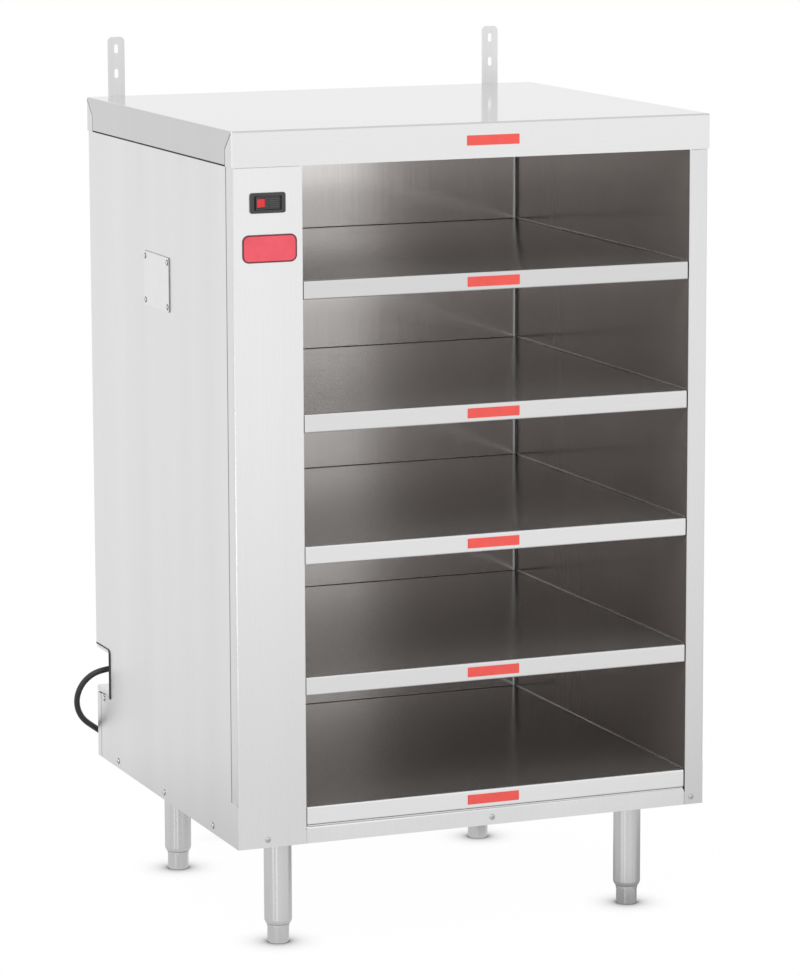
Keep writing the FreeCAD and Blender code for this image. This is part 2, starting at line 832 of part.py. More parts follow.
def build_inner_walls():
    wall_bottom = bottom + s.apron_height
    wall_end = inner_rear + s.wall_lap
    left_wall = fuse([
        box(open_left - gauge, open_left, front + gauge, wall_end, wall_bottom, cap_under),
        box(open_left - s.wall_flange, open_left, front + gauge, front + gauge * 2, wall_bottom, cap_under),
    ])
    finish(cut(left_wall, rivet_holes(open_left) + lead_holes()), "inner_wall_left")
    right_wall = fuse([
        box(open_right, open_right + gauge, front + gauge, wall_end, wall_bottom, cap_under),
        box(open_right, open_right + s.wall_flange, front + gauge, front + gauge * 2, wall_bottom, cap_under),
    ])
    finish(cut(right_wall, rivet_holes(open_right)), "inner_wall_right")
    rear_bottom = bottom + gauge
    finish(fuse([
        box(open_left, open_right, inner_rear, inner_rear + gauge, rear_bottom, cap_under),
        box(open_left, open_left + gauge, inner_rear, wall_end, rear_bottom, cap_under),
        box(open_right - gauge, open_right, inner_rear, wall_end, rear_bottom, cap_under),
    ]), "inner_wall_rear")


def build_inner_ceiling():
    z = opening_top + s.header_reveal
    up = z + s.ceiling_flange
    finish(fuse([
        box(open_left, open_right, front, inner_rear, z, z + gauge),
        box(open_left, open_right, front, front + gauge, z, cap_under),
        box(open_left, open_right, inner_rear - gauge, inner_rear, z, up),
        box(open_left, open_left + gauge, front, inner_rear, z, up),
        box(open_right - gauge, open_right, front, inner_rear, z, up),
    ]), "inner_ceiling")


def build_shelves():
    """Each shelf is a folded pan, with a heater under its top and a closure below."""
    closures = []
    heaters = []
    thermostats = []
    for number in range(1, SHELF_COUNT + 1):
        low = shelf_bottom(number)
        high = low + s.shelf_lip
        lip_edge = shelf_front + s.lip_return
        pan = fuse([
            box(open_left, open_right, shelf_front, inner_rear, high - gauge, high),
            box(open_left, open_right, shelf_front, shelf_front + gauge, low, high),
            box(open_left, open_right, shelf_front, lip_edge, low, low + gauge),
            box(open_left, open_right, inner_rear - gauge, inner_rear, low, high),
            box(open_left, open_left + gauge, shelf_front, inner_rear, low, high),
            box(open_right - gauge, open_right, shelf_front, inner_rear, low, high),
        ])
        relief_y = front + s.lip_relief
        tools = [
            box(open_left - gauge, open_left + s.lip_end_gap, front, relief_y, low - gauge, high + gauge),
            box(open_right - s.lip_end_gap, open_right + gauge, front, relief_y, low - gauge, high + gauge),
        ]
        for y in RIVET_Y:
            tools.append(rod(s.rivet_radius + s.hole_clearance, s.body_width, left, y,
                             shelf_lead_z(number), "+x"))
        tools.append(rod(s.grommet_radius, gauge * 6, open_left - gauge * 3, trunk_y,
                         shelf_lead_z(number), "+x"))
        finish(cut(pan, tools), f"shelf_{number}_pan")

        inner_left = open_left + gauge
        inner_right = open_right - gauge
        closure_rear = inner_rear - gauge
        closure_top = low + gauge + s.closure_flange
        closures.append(fuse([
            box(inner_left, inner_right, lip_edge, closure_rear, low, low + gauge),
            box(inner_left, inner_left + gauge, lip_edge, closure_rear, low, closure_top),
            box(inner_right - gauge, inner_right, lip_edge, closure_rear, low, closure_top),
        ]))
        heater_z = high - gauge - s.heater_thickness
        heaters.append(box(open_left + s.heater_inset, open_right - s.heater_inset,
                           shelf_front + s.heater_inset, inner_rear - s.heater_inset,
                           heater_z, high - gauge))
        thermostats.append(rod(s.thermostat_radius, s.thermostat_height, open_left + s.thermostat_inset,
                               trunk_y, heater_z - s.thermostat_height, "+z"))
    finish(group(closures), "shelf_closures")
    finish(group(heaters), "shelf_heaters")
    finish(group(thermostats), "shelf_thermostats")


def build_shelf_rivets():
    rivets = []
    through = gauge * 2
    for number in range(1, SHELF_COUNT + 1):
        z = shelf_lead_z(number)
        for y in RIVET_Y:
            for outer_x, along in ((open_left - gauge, "+x"), (open_right + gauge, "-x")):
                way = {"+x": 1, "-x": -1}[along]
                head_x = outer_x - s.rivet_head * way
                tail_x = outer_x + through * way
                rivets.append(fuse([
                    rod(s.rivet_head_radius, s.rivet_head, head_x, y, z, along),
                    rod(s.rivet_radius, through, outer_x, y, z, along),
                    rod(s.rivet_head_radius, s.rivet_head, tail_x, y, z, along),
                ]))
    finish(group(rivets), "shelf_rivets")


def build_insulation():
    """Blankets that fill the spaces between the inner and outer walls and over the ceiling."""
    low = bottom + s.apron_height + s.shelf_lip
    blanket_front = return_edge + s.seam_gap + s.tongue_lap + s.blanket_clear
    blanket_rear = trunk_y - s.grommet_flange_radius - s.blanket_clear
    right_blanket_rear = rear_return_edge - s.seam_gap - s.tongue_lap - s.blanket_clear
    middle_left = open_left + gauge + s.blanket_clear
    middle_right = open_right - gauge - s.blanket_clear
    ceiling_top = opening_top + s.header_reveal + gauge
    finish(box(web_x + gauge + s.blanket_clear, open_left - gauge - s.rivet_head, blanket_front,
               blanket_rear, low, opening_top), "insulation_left")
    finish(box(open_right + gauge + s.rivet_head, right - gauge, blanket_front, right_blanket_rear,
               low, opening_top), "insulation_right")
    finish(box(middle_left, middle_right, inner_rear + gauge, rear - gauge, low, opening_top),
           "insulation_rear")
    finish(box(middle_left, middle_right, blanket_front, inner_rear - gauge - s.blanket_clear,
               ceiling_top, cap_under - s.blanket_clear), "insulation_top")


def build_controls():
    """The terminal block on its bracket behind the access cover, and the wiring."""
    y0 = front + s.cover_inset - s.cover_width / 2 - s.bracket_overlap
    y1 = front + s.cover_inset + s.cover_width / 2 + s.bracket_overlap
    z0 = top - s.cover_drop - s.cover_height / 2 - s.bracket_overlap
    z1 = top - s.cover_drop + s.cover_height / 2 + s.bracket_overlap
    finish(fuse([
        box(left + gauge, left + gauge * 2, y0, y1, z0 - s.bracket_lap, z0),
        box(left + gauge, web_x + gauge, y0, y1, z0, z0 + gauge),
        box(web_x, web_x + gauge, y0, y1, z0, z1),
        box(left + gauge, web_x + gauge, y0, y1, z1 - gauge, z1),
        box(left + gauge, left + gauge * 2, y0, y1, z1, z1 + s.bracket_lap),
    ]), "control_bracket")

    block_y = front + s.cover_inset
    block_z = top - s.cover_drop
    block_end = block_y + s.terminal_length / 2
    finish(box(web_x - s.terminal_width, web_x, block_y - s.terminal_length / 2, block_end,
               block_z - s.terminal_height / 2, block_z + s.terminal_height / 2), "terminal_block")

    relief_z = bottom + s.relief_rise
    relief_y = rear - s.relief_setback
    switch_z = top - s.switch_drop
    switch_back = front + s.switch_body_depth
    wires = [
        rod(s.trunk_radius, switch_z + s.trunk_head - relief_z, trunk_x, trunk_y, relief_z, "+z"),
        rod(s.lead_radius, s.lead_stub, relief_end, relief_y, relief_z, "+x"),
        rod(s.lead_radius, relief_y - trunk_y + s.lead_radius, trunk_x, trunk_y, relief_z, "+y"),
        rod(s.lead_radius, trunk_y - block_end, trunk_x, block_end, block_z, "+y"),
        rod(s.lead_radius, trunk_y - switch_back, trunk_x, switch_back, switch_z, "+y"),
    ]
    lead_end = open_left + s.thermostat_inset - s.thermostat_radius
    for number in range(1, SHELF_COUNT + 1):
        wires.append(rod(s.lead_radius, lead_end - trunk_x, trunk_x, trunk_y, shelf_lead_z(number), "+x"))
    finish(fuse(wires), "wiring_harness")

    grommets = []
    bore = s.lead_radius + s.hole_clearance
    neck = gauge * 2
    for number in range(1, SHELF_COUNT + 1):
        z = shelf_lead_z(number)
        outer_x = open_left - gauge
        ring = fuse([
            rod(s.grommet_flange_radius, s.grommet_flange, outer_x - s.grommet_flange, trunk_y, z, "+x"),
            rod(s.grommet_radius - s.hole_clearance, neck, outer_x, trunk_y, z, "+x"),
            rod(s.grommet_flange_radius, s.grommet_flange, outer_x + neck, trunk_y, z, "+x"),
        ])
        grommets.append(cut(ring, [rod(bore, neck * 4, outer_x - neck, trunk_y, z, "+x")]))
    finish(group(grommets), "wire_grommets")


def build_switch():
    """A rocker switch on its side: the housing in the column's face, the rocker and its lens."""
    x = column_middle
    z = top - s.switch_drop
    upward = FreeCAD.Vector(0, 1, 0)

    housing = new_body("housing_shell")
    bezel = sketch_on(housing, "XZ_Plane")
    rectangle(bezel, -s.bezel_width / 2, -s.bezel_height / 2, s.bezel_width / 2, s.bezel_height / 2)
    bezel_pad = pad(housing, bezel, s.bezel_proud)
    round_edges(housing, bezel_pad, s.bezel_corner, upward)
    barrel = sketch_on(housing, "XZ_Plane")
    rectangle(barrel, -s.switch_body_width / 2, -s.switch_body_height / 2,
              s.switch_body_width / 2, s.switch_body_height / 2)
    pad(housing, barrel, s.switch_body_depth, reverse=True)
    place(housing, x, front, z)
    floor_y = front - s.bezel_proud + s.well_depth
    well = box(x - s.well_width / 2, x + s.well_width / 2, front - s.bezel_proud * 2, floor_y,
               z - s.well_height / 2, z + s.well_height / 2)
    pin_y = front + s.rocker_axis_depth
    pin_bore_length = s.rocker_pin_length + s.rocker_pin_clearance * 2
    pin_bore = rod(s.rocker_pin_radius + s.rocker_pin_clearance, pin_bore_length, x, pin_y,
                   z - pin_bore_length / 2, "+z")
    finish(cut(housing, [well, pin_bore]), "switch_housing")

    # The lens lies in the rocker's left facet; both are drawn level and then tilted together.
    slope = (s.rocker_end - s.rocker_middle) / s.rocker_half
    tilt = FreeCAD.Rotation(FreeCAD.Vector(0, 0, 1), s.rocker_tilt.value)

    def facet_y(distance):
        return -(s.rocker_middle + slope * distance)

    def lens_corners(depth):
        return [
            (-s.lens_end, facet_y(s.lens_end)),
            (-s.lens_start, facet_y(s.lens_start)),
            (-s.lens_start, facet_y(s.lens_start) + depth),
            (-s.lens_end, facet_y(s.lens_end) + depth),
        ]

    def flat_prism(name, corners, height):
        prism = new_body(name)
        profile = sketch_on(prism, "XY_Plane")
        outline(profile, corners)
        prism_pad = pad(prism, profile, height)
        prism_pad.Midplane = True
        return place(prism, x, pin_y, z, tilt)

    paddle = flat_prism("rocker_paddle", [
        (-s.rocker_half, facet_y(s.rocker_half)),
        (as_size(0), facet_y(as_size(0))),
        (s.rocker_half, facet_y(s.rocker_half)),
        (s.rocker_half, facet_y(s.rocker_half) + s.rocker_keel),
        (s.rocker_keel_half, s.rocker_keel),
        (-s.rocker_keel_half, s.rocker_keel),
        (-s.rocker_half, facet_y(s.rocker_half) + s.rocker_keel),
    ], s.rocker_height)
    lens_seat = flat_prism("lens_seat", lens_corners(s.lens_depth), s.lens_height)
    pin = rod(s.rocker_pin_radius, s.rocker_pin_length, x, pin_y, z - s.rocker_pin_length / 2, "+z")
    finish(cut(fuse([paddle, pin]), [lens_seat]), "switch_rocker")
    finish(flat_prism("switch_lens", lens_corners(s.lens_depth), s.lens_height), "switch_lens")


def build_access_cover():
    """A flat cover over the service opening in the left panel, with a screw at each corner."""
    cover = new_body("access_cover")
    plate = sketch_on(cover, "YZ_Plane")
    half_width = s.cover_width / 2
    half_height = s.cover_height / 2
    rectangle(plate, -half_width, -half_height, half_width, half_height)
    plate_pad = pad(cover, plate, s.cover_gauge, reverse=True)
    round_edges(cover, plate_pad, s.cover_corner, FreeCAD.Vector(1, 0, 0))
    holes = sketch_on(cover, "YZ_Plane")
    across = half_width - s.cover_screw_inset
    up = half_height - s.cover_screw_inset
    for u, v in ((-across, -up), (across, -up), (-across, up), (across, up)):
        circle(holes, u, v, s.cover_screw_radius + s.hole_clearance)
    pocket_through(cover, holes)
    place(cover, left, front + s.cover_inset, top - s.cover_drop)
    finish(cover, "access_cover")

    screws = []
    seat_x = left - s.cover_gauge
    for y, z in cover_screw_places():
        screws.append(fuse([
            taper(s.cover_screw_head_radius, s.cover_screw_crown_radius, s.cover_screw_head,
                  seat_x, y, z, "-x"),
            rod(s.cover_screw_radius, s.cover_screw_length, seat_x, y, z, "+x"),
        ]))
    finish(group(screws), "access_cover_screws")


def build_panel_screws():
    screws = []
    for side in ("left", "right"):
        for y in SIDE_SCREW_Y:
            screws.append(screw(SIDE_FACE[side], y, screw_z, SIDE_INWARD[side]))
    for x in FRONT_SCREW_X:
        screws.append(screw(x, front, screw_z, "+y"))
    for x in REAR_SCREW_X:
        screws.append(screw(x, rear, screw_z, "-y"))
    y, z = pocket_screw_place()
    screws.append(screw(left, y, z, "+x"))
    finish(group(screws), "panel_screws")


# The cord pocket's mouth, seen through the notch in the left panel
trim_front_edge = notch_front + s.trim_front
pocket_front_edge = trim_front_edge + s.pocket_front
pocket_high = notch_top - s.trim_top - s.pocket_top
pocket_low = notch_bottom + s.pocket_sill
pocket_seat = gauge + s.trim_gauge


def build_cord_pocket():
    """A rubber trim round the notch, the sheet pocket behind it and the cord's strain relief."""
    trim_x0 = left + gauge
    trim_x1 = trim_x0 + s.trim_gauge
    trim_top_edge = notch_top - s.trim_top
    finish(fuse([
        box(trim_x0, trim_x1, notch_front - s.trim_hidden, trim_front_edge,
            notch_bottom, notch_top + s.trim_hidden),
        box(trim_x0, trim_x1, notch_front - s.trim_hidden, rear - gauge,
            trim_top_edge, notch_top + s.trim_hidden),
    ]), "notch_edge_trim")

    flange_x0 = left + pocket_seat
    flange_x1 = flange_x0 + gauge
    flange_front = notch_front - s.pocket_hidden
    wall_x = left + s.pocket_depth
    inner_edge = rear - gauge
    rear_edge = rear + s.pocket_overhang
    pocket = fuse([
        box(left + gauge, flange_x1, flange_front, rear_return_edge - s.seam_gap - s.tongue_lap,
            notch_bottom - s.pocket_hidden, notch_bottom),
        box(flange_x0, flange_x1, flange_front, inner_edge, notch_bottom - s.pocket_hidden, pocket_low),
        box(flange_x0, flange_x1, flange_front, rear_edge, notch_bottom, pocket_low),
        box(flange_x0, flange_x1, flange_front, pocket_front_edge, pocket_low,
            notch_top + s.pocket_hidden),
        box(flange_x0, flange_x1, flange_front, inner_edge, pocket_high, notch_top + s.pocket_hidden),
        box(flange_x0, flange_x1, flange_front, rear_edge, pocket_high, notch_top),
        box(flange_x0, wall_x + gauge, pocket_front_edge - gauge, pocket_front_edge, pocket_low - gauge,
            pocket_high + gauge),
        box(flange_x0, wall_x + gauge, pocket_front_edge - gauge, rear_edge, pocket_high,
            pocket_high + gauge),
        box(flange_x0, wall_x + gauge, pocket_front_edge - gauge, rear_edge, pocket_low - gauge, pocket_low),
        box(wall_x, wall_x + gauge, pocket_front_edge - gauge, rear_edge, pocket_low - gauge,
            pocket_high + gauge),
    ])
    relief_y = rear - s.relief_setback
    relief_z = bottom + s.relief_rise
    y, z = pocket_screw_place()
    tools = [
        rod(s.relief_shank_radius + s.hole_clearance, gauge * 3, wall_x - gauge, relief_y, relief_z, "+x"),
        screw_hole(left, y, z, "+x", screw_reach),
    ]
    finish(cut(pocket, tools), "cord_pocket")

    relief = new_body("strain_relief")
    profile = sketch_on(relief, "XZ_Plane")
    outline(profile, [
        (-s.relief_shank, as_size(0)),
        (-s.relief_shank, s.relief_shank_radius),
        (as_size(0), s.relief_shank_radius),
        (as_size(0), s.relief_flange_radius),
        (s.relief_flange, s.relief_flange_radius),
        (s.relief_flange, s.relief_nose_radius),
        (s.relief_flange + s.relief_nose, s.cord_diameter / 2 + gauge),
        (s.relief_flange + s.relief_nose, as_size(0)),
    ])
    revolve(relief, profile, "H_Axis")
    outward = FreeCAD.Rotation(FreeCAD.Vector(0, 0, 1), 180)
    place(relief, wall_x, relief_y, relief_z, outward)
    finish(relief, "strain_relief")


def build_wall_straps():
    """Two flat straps screwed to the rear skirt, each with two upright slots above the top."""
    screws = []
    strap_y = rear + cap_proud
    for side, x in STRAPS.items():
        strap = new_body(f"wall_bracket_{side}")
        half = s.strap_width / 2
        drop = top - strap_bottom
        face = sketch_on(strap, "XZ_Plane")
        rectangle(face, -half, -drop, half, s.strap_rise)
        face_pad = pad(strap, face, s.strap_gauge, reverse=True)
        round_edges(strap, face_pad, s.strap_corner, FreeCAD.Vector(0, 1, 0), lambda middle: middle.z > 0)
        cuts = sketch_on(strap, "XZ_Plane")
        reach = s.strap_slot_length / 2 - s.strap_slot_radius
        for i in range(2):
            centre = s.strap_slot_low + s.strap_slot_pitch * i
            slot(cuts, as_size(0), centre - reach, centre + reach, s.strap_slot_radius)
            hole_up = s.strap_screw_low + s.strap_screw_pitch * i - drop
            circle(cuts, as_size(0), hole_up, s.screw_radius + s.hole_clearance)
        pocket_through(strap, cuts)
        place(strap, x, strap_y, top)
        finish(strap, f"wall_bracket_{side}")
        for z in STRAP_SCREW_Z:
            screws.append(screw(x, strap_y + s.strap_gauge, z, "-y"))
    finish(group(screws), "bracket_screws")


def build_plates():
    """The blank badge on the column and the blank marker strips on the header and shelves."""
    badge = new_body("badge_plate")
    face = sketch_on(badge, "XZ_Plane")
    rectangle(face, -s.badge_width / 2, -s.badge_height / 2, s.badge_width / 2, s.badge_height / 2)
    face_pad = pad(badge, face, s.badge_gauge)
    round_edges(badge, face_pad, s.badge_corner, FreeCAD.Vector(0, 1, 0))
    place(badge, column_middle + s.badge_offset, front, top - s.badge_drop)
    finish(badge, "badge_plate")

    half_width = s.marker_width / 2
    half_height = s.marker_height / 2
    header_x = left + s.header_marker_inset
    header_z = opening_top + s.cap_depth / 2
    header_y = front - cap_proud
    strips = [box(header_x - half_width, header_x + half_width, header_y - s.marker_gauge, header_y,
                  header_z - half_height, header_z + half_height)]
    strip_x = left + s.shelf_marker_inset
    for number in range(1, SHELF_COUNT + 1):
        z = shelf_lead_z(number)
        strips.append(box(strip_x - half_width, strip_x + half_width, shelf_front - s.marker_gauge,
                          shelf_front, z - half_height, z + half_height))
    finish(group(strips), "marker_strips")


def build_legs():
    """Each leg is a tube with a stud on top and a threaded bush inside, which carries a foot."""
    bore = s.leg_radius - s.leg_wall
    mouth = s.foot_radius + s.foot_clearance
    stem_bore = s.foot_stem_radius + s.foot_clearance
    mouth_outer = mouth + s.foot_clearance * 2
    tube_bottom = s.foot_exposed
    bush_top = s.leg_bush_rise + s.leg_bush_height
    plate_under = bottom - s.leg_end_plate
    foot_top = s.foot_exposed + s.foot_inside
    axis = as_size(0)
    for name, (x, y) in LEGS.items():
        leg = new_body(f"leg_{name}")
        profile = sketch_on(leg, "XZ_Plane")
        outline(profile, [
            (axis, plate_under),
            (bore, plate_under),
            (bore, bush_top),
            (stem_bore, bush_top),
            (stem_bore, s.leg_bush_rise),
            (bore, s.leg_bush_rise),
            (bore, tube_bottom + s.leg_taper),
            (mouth, tube_bottom),
            (mouth_outer, tube_bottom),
            (s.leg_radius, tube_bottom + s.leg_taper),
            (s.leg_radius, bottom),
            (s.leg_stud_radius, bottom),
            (s.leg_stud_radius, bottom + s.leg_stud_length),
            (axis, bottom + s.leg_stud_length),
        ])
        revolve(leg, profile, "V_Axis")
        place(leg, x, y, axis)
        finish(leg, f"leg_{name}")

        foot = new_body(f"turned_foot_{name}")
        profile = sketch_on(foot, "XZ_Plane")
        outline(profile, [
            (axis, axis),
            (s.foot_radius - s.foot_chamfer, axis),
            (s.foot_radius, s.foot_chamfer),
            (s.foot_radius, foot_top),
            (s.foot_stem_radius, foot_top),
            (s.foot_stem_radius, foot_top + s.foot_stem_length),
            (axis, foot_top + s.foot_stem_length),
        ])
        revolve(foot, profile, "V_Axis")
        place(foot, x, y, axis)
        flats = fuse([
            hexagon(s.foot_flats, s.foot_flat_height, x, y, axis),
            rod(s.foot_radius * 2, s.leg_height, x, y, s.foot_flat_height, "+z"),
        ])
        finish(common(foot, flats), f"foot_{name}")


# The power cord

CORD_ROUTE = [
    # out of the strain relief and round the loop beside the rear left corner
    (-342.5, 288.0, 282.0),
    (-366.6, 296.0, 264.4),
    (-375.9, 303.5, 236.0),
    (-366.6, 311.0, 207.6),
    (-342.5, 317.0, 188.5),
    # down behind the rear panel to the floor
    (-306.0, 321.0, 164.0),
    (-264.0, 324.0, 126.0),
    (-205.0, 327.0, 80.0),
    (-140.0, 331.0, 38.0),
    (-70.0, 335.0, 12.5),
    (-8.0, 335.6, 5.4),
]


def vector(x, y, z):
    return FreeCAD.Vector(x, y, z)


def arc_through(start, start_way, end):
    """The arc that leaves a point along a direction and ends at another point."""
    chord = end - start
    way = FreeCAD.Vector(start_way).normalize()
    across = chord - way * chord.dot(way)
    if across.Length < 1e-9:
        return Part.LineSegment(start, end), FreeCAD.Vector(way)
    normal = FreeCAD.Vector(across).normalize()
    radius = chord.Length ** 2 / (2 * chord.dot(normal))
    centre = start + normal * radius
    half_turn = math.atan2(chord.dot(normal), chord.dot(way))
    middle = centre + (way * math.sin(half_turn) - normal * math.cos(half_turn)) * radius
    end_way = way * math.cos(2 * half_turn) + normal * math.sin(2 * half_turn)
    return Part.Arc(start, middle, end), end_way


def tube_on(edges, diameter):
    """A round solid tube along a smooth path."""
    path = Part.Wire([edge.toShape() for edge in edges])
    start = path.Edges[0].firstVertex().Point
    way = path.Edges[0].tangentAt(path.Edges[0].FirstParameter)
    ring = Part.Wire([Part.Circle(start, way, diameter / 2).toShape()])
    return path.makePipeShell([ring], True, False), path.Length


def rounded_route(points):
    """Straight runs joined by the largest tangent arcs that the runs allow, with their radii."""
    edges = []
    radii = []
    here = points[0]
    for i in range(1, len(points) - 1):
        before = points[i] - points[i - 1]
        after = points[i + 1] - points[i]
        turn = before.getAngle(after)
        setback = ARC_SHARE * min(before.Length, after.Length)
        radii.append(setback / math.tan(turn / 2))
        arc_start = points[i] - FreeCAD.Vector(before).normalize() * setback
        arc_end = points[i] + FreeCAD.Vector(after).normalize() * setback
        edges.append(Part.LineSegment(here, arc_start))
        edges.append(arc_through(arc_start, before, arc_end)[0])
        here = arc_end
    edges.append(Part.LineSegment(here, points[-1]))
    return edges, radii


def coil_path(centre, radius, pitch, layer, straight):
    """A two-layer coil: half turns that close in, one that climbs, half turns that open out."""
    edges = []
    # the lower layer winds in from the side that faces the cabinet
    place_now = centre + vector(0, -radius, 0)
    way = vector(1, 0, 0)
    start = place_now - way * straight
    edges.append(Part.LineSegment(start, place_now))
    quarters = round(TURNS_PER_LAYER * 4)
    angle = -math.pi / 2
    reach = radius
    steps = [(-pitch / 4, 0.0)] * quarters
    steps += [(-pitch / 4, layer / 2), (pitch / 4, layer / 2)]
    steps += [(pitch / 4, 0.0)] * quarters
    for grow, climb in steps:
        angle += math.pi / 2
        reach += grow
        target = vector(centre.x + reach * math.cos(angle), centre.y + reach * math.sin(angle),
                        place_now.z + climb)
        end_way = vector(-math.sin(angle), math.cos(angle), 0)
        if climb and place_now.z > centre.z:
            end_way.z = 0.0
        elif climb:
            end_way.z = climb / (reach * math.pi / 4) * 0.5
        first, second = biarc(place_now, way, target, end_way)
        edges += [first, second]
        place_now = target
        way = end_way.normalize()
    edges.append(Part.LineSegment(place_now, place_now + way * straight))
    return edges, start, place_now + way * straight


def biarc(start, start_way, end, end_way):
    """Two arcs, tangent to each other, that join two points along two directions."""
    t0 = FreeCAD.Vector(start_way).normalize()
    t1 = FreeCAD.Vector(end_way).normalize()
    chord = end - start
    both = t0 + t1
    a = 2 * (1 - t0.dot(t1))
    b = 2 * chord.dot(both)
    c = -chord.dot(chord)
    if a < 1e-9:
        reach = -c / b
    else:
        reach = (-b + math.sqrt(b * b - 4 * a * c)) / (2 * a)
    joint = (start + end + (t0 - t1) * reach) * 0.5
    first, joint_way = arc_through(start, t0, joint)
    second, end_found = arc_through(joint, joint_way, end)
    return first, second


def sampled(edges, spacing):
    points = []
    for edge in edges:
        shape = edge.toShape()
        count = max(2, int(shape.Length / spacing) + 1)
        points += shape.discretize(count)[:-1]
    return points


def least_gap(points, spacing, diameter):
    """The least gap between two stretches of one tube, apart from its own neighbours."""
    skip = int(3 * diameter / spacing)
    least = math.inf
    for i in range(len(points)):
        for j in range(i + skip, len(points)):
            least = min(least, points[i].distanceToPoint(points[j]))
    return least - diameter


def shape_feature(name, shape):
    feature = doc.addObject("Part::Feature", name)
    feature.Shape = shape
    feature.Placement = FreeCAD.Placement()
    return finish(feature, name)


def build_power_cord():
    diameter = s.cord_diameter.value
    lift = s.tie_gauge.value + s.tie_gap.value / 2
    low_z = lift + diameter / 2
    centre = vector(s.coil_x.value, (rear + s.coil_behind).value, low_z)
    coil_edges, coil_start, coil_end = coil_path(
        centre, s.coil_radius.value, s.coil_pitch.value, s.coil_layer.value, diameter)

    exit_x = left + s.pocket_depth - s.relief_flange - s.relief_nose
    exit_point = vector(exit_x.value, (rear - s.relief_setback).value, (bottom + s.relief_rise).value)
    route = [exit_point] + [vector(*point) for point in CORD_ROUTE]
    route += [coil_start - vector(s.coil_approach.value, 0, 0), coil_start]
    cord_edges, radii = rounded_route(route)
    print("cord radii in diameters", [round(radius / diameter, 1) for radius in radii])
    print("cord runs", [round((b - a).Length) for a, b in zip(route, route[1:])])

    section = math.pi * diameter ** 2 / 4
    total = 0.0
    tail_end = coil_end + vector(s.tail_length.value, 0, 0)
    for name, edges in (("power_cord", cord_edges), ("cord_coil", coil_edges),
                        ("cord_tail", [Part.LineSegment(coil_end, tail_end)])):
        tube, length = tube_on(edges, diameter)
        total += length
        print(name, "length", round(length), "volume over section times length",
              round(tube.Volume / (section * length), 5))
        shape_feature(name, tube)
    print("coil gap", round(least_gap(sampled(coil_edges, GAP_SPACING), GAP_SPACING, diameter), 2))
    print("cord length", round(total))


def build_cord_tie():
    """A flat strap round both layers of the coil, on the side away from the plug."""
    diameter = s.cord_diameter
    centre_y = rear + s.coil_behind
    outer = s.coil_radius + diameter / 2 + s.tie_gap
    inner = s.coil_radius - s.coil_pitch * TURNS_PER_LAYER - diameter / 2 - s.tie_gap
    low = s.tie_gauge
    high = s.tie_gauge + s.tie_gap + diameter + s.coil_layer
    x_outer = s.coil_x - outer
    x_inner = s.coil_x - inner
    y0 = centre_y - s.tie_width / 2
    y1 = centre_y + s.tie_width / 2
    strap = box(x_outer - s.tie_gauge, x_inner + s.tie_gauge, y0, y1, low - s.tie_gauge, high + s.tie_gauge)
    finish(cut(strap, [box(x_outer, x_inner, y0 - low, y1 + low, low, high)]), "cord_tie")


def build_plug():
    """A moulded plug with two blades and a round ground pin, lying beside the coil."""
    diameter = s.cord_diameter
    axis_y = rear + s.coil_behind - s.coil_radius
    axis_z = s.tie_gauge + s.tie_gap / 2 + diameter / 2 + s.coil_layer
    sleeve_x = s.coil_x + diameter + s.tail_length
    body_x = sleeve_x + s.plug_sleeve
    face_x = body_x + s.plug_length

    shell = new_body("plug_shell")
    half = s.plug_width / 2
    face = sketch_on(shell, "YZ_Plane")
    rectangle(face, -half, -half, half, half)
    shell_pad = pad(shell, face, s.plug_length)
    round_edges(shell, shell_pad, s.plug_corner, FreeCAD.Vector(1, 0, 0))
    place(shell, body_x, axis_y, axis_z)
    sleeve = taper(diameter / 2 + gauge, s.plug_sleeve_radius, s.plug_sleeve, sleeve_x, axis_y, axis_z, "+x")
    finish(fuse([shell, sleeve]), "power_plug")

    blades = []
    blade_z = axis_z + s.ground_offset / 3
    for way in (-1, 1):
        y = axis_y + s.prong_pitch / 2 * way
        blades.append(box(face_x, face_x + s.prong_length, y - s.prong_gauge / 2, y + s.prong_gauge / 2,
                          blade_z - s.prong_width / 2, blade_z + s.prong_width / 2))
    ground_z = blade_z - s.ground_offset
    blades.append(rod(s.ground_radius, s.ground_length, face_x, axis_y, ground_z, "+x"))
    finish(group(blades), "plug_prongs")


def write_parts():
    doc.recompute()
    for thing in doc.Objects:
        if "Invalid" in thing.State or "Error" in thing.State:
            raise RuntimeError(f"{thing.Label} did not rebuild: {thing.State}")
    for thing in finished:
        if thing.Shape.isNull() or not thing.Shape.isValid() or not thing.Shape.Solids:
            raise RuntimeError(f"{thing.Label} has no valid solid")
    os.makedirs("parts", exist_ok=True)
    for thing in finished:
        thing.Shape.exportStep(f"parts/{thing.Label}.step")
    print(len(finished), "sub-parts written")


build_base_pan()
build_leg_fixings()
build_side_panel("left")
build_side_panel("right")
build_rear_panel()
build_front_posts()
build_front_apron()
build_top_cover()
build_inner_walls()
build_inner_ceiling()
build_shelves()
build_shelf_rivets()
build_insulation()
build_controls()
build_switch()
build_access_cover()
build_panel_screws()
build_cord_pocket()
build_wall_straps()
build_plates()
build_legs()
build_power_cord()
build_cord_tie()
build_plug()
write_parts()
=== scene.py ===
import math

import bmesh
import bpy
from mathutils import Matrix, Vector


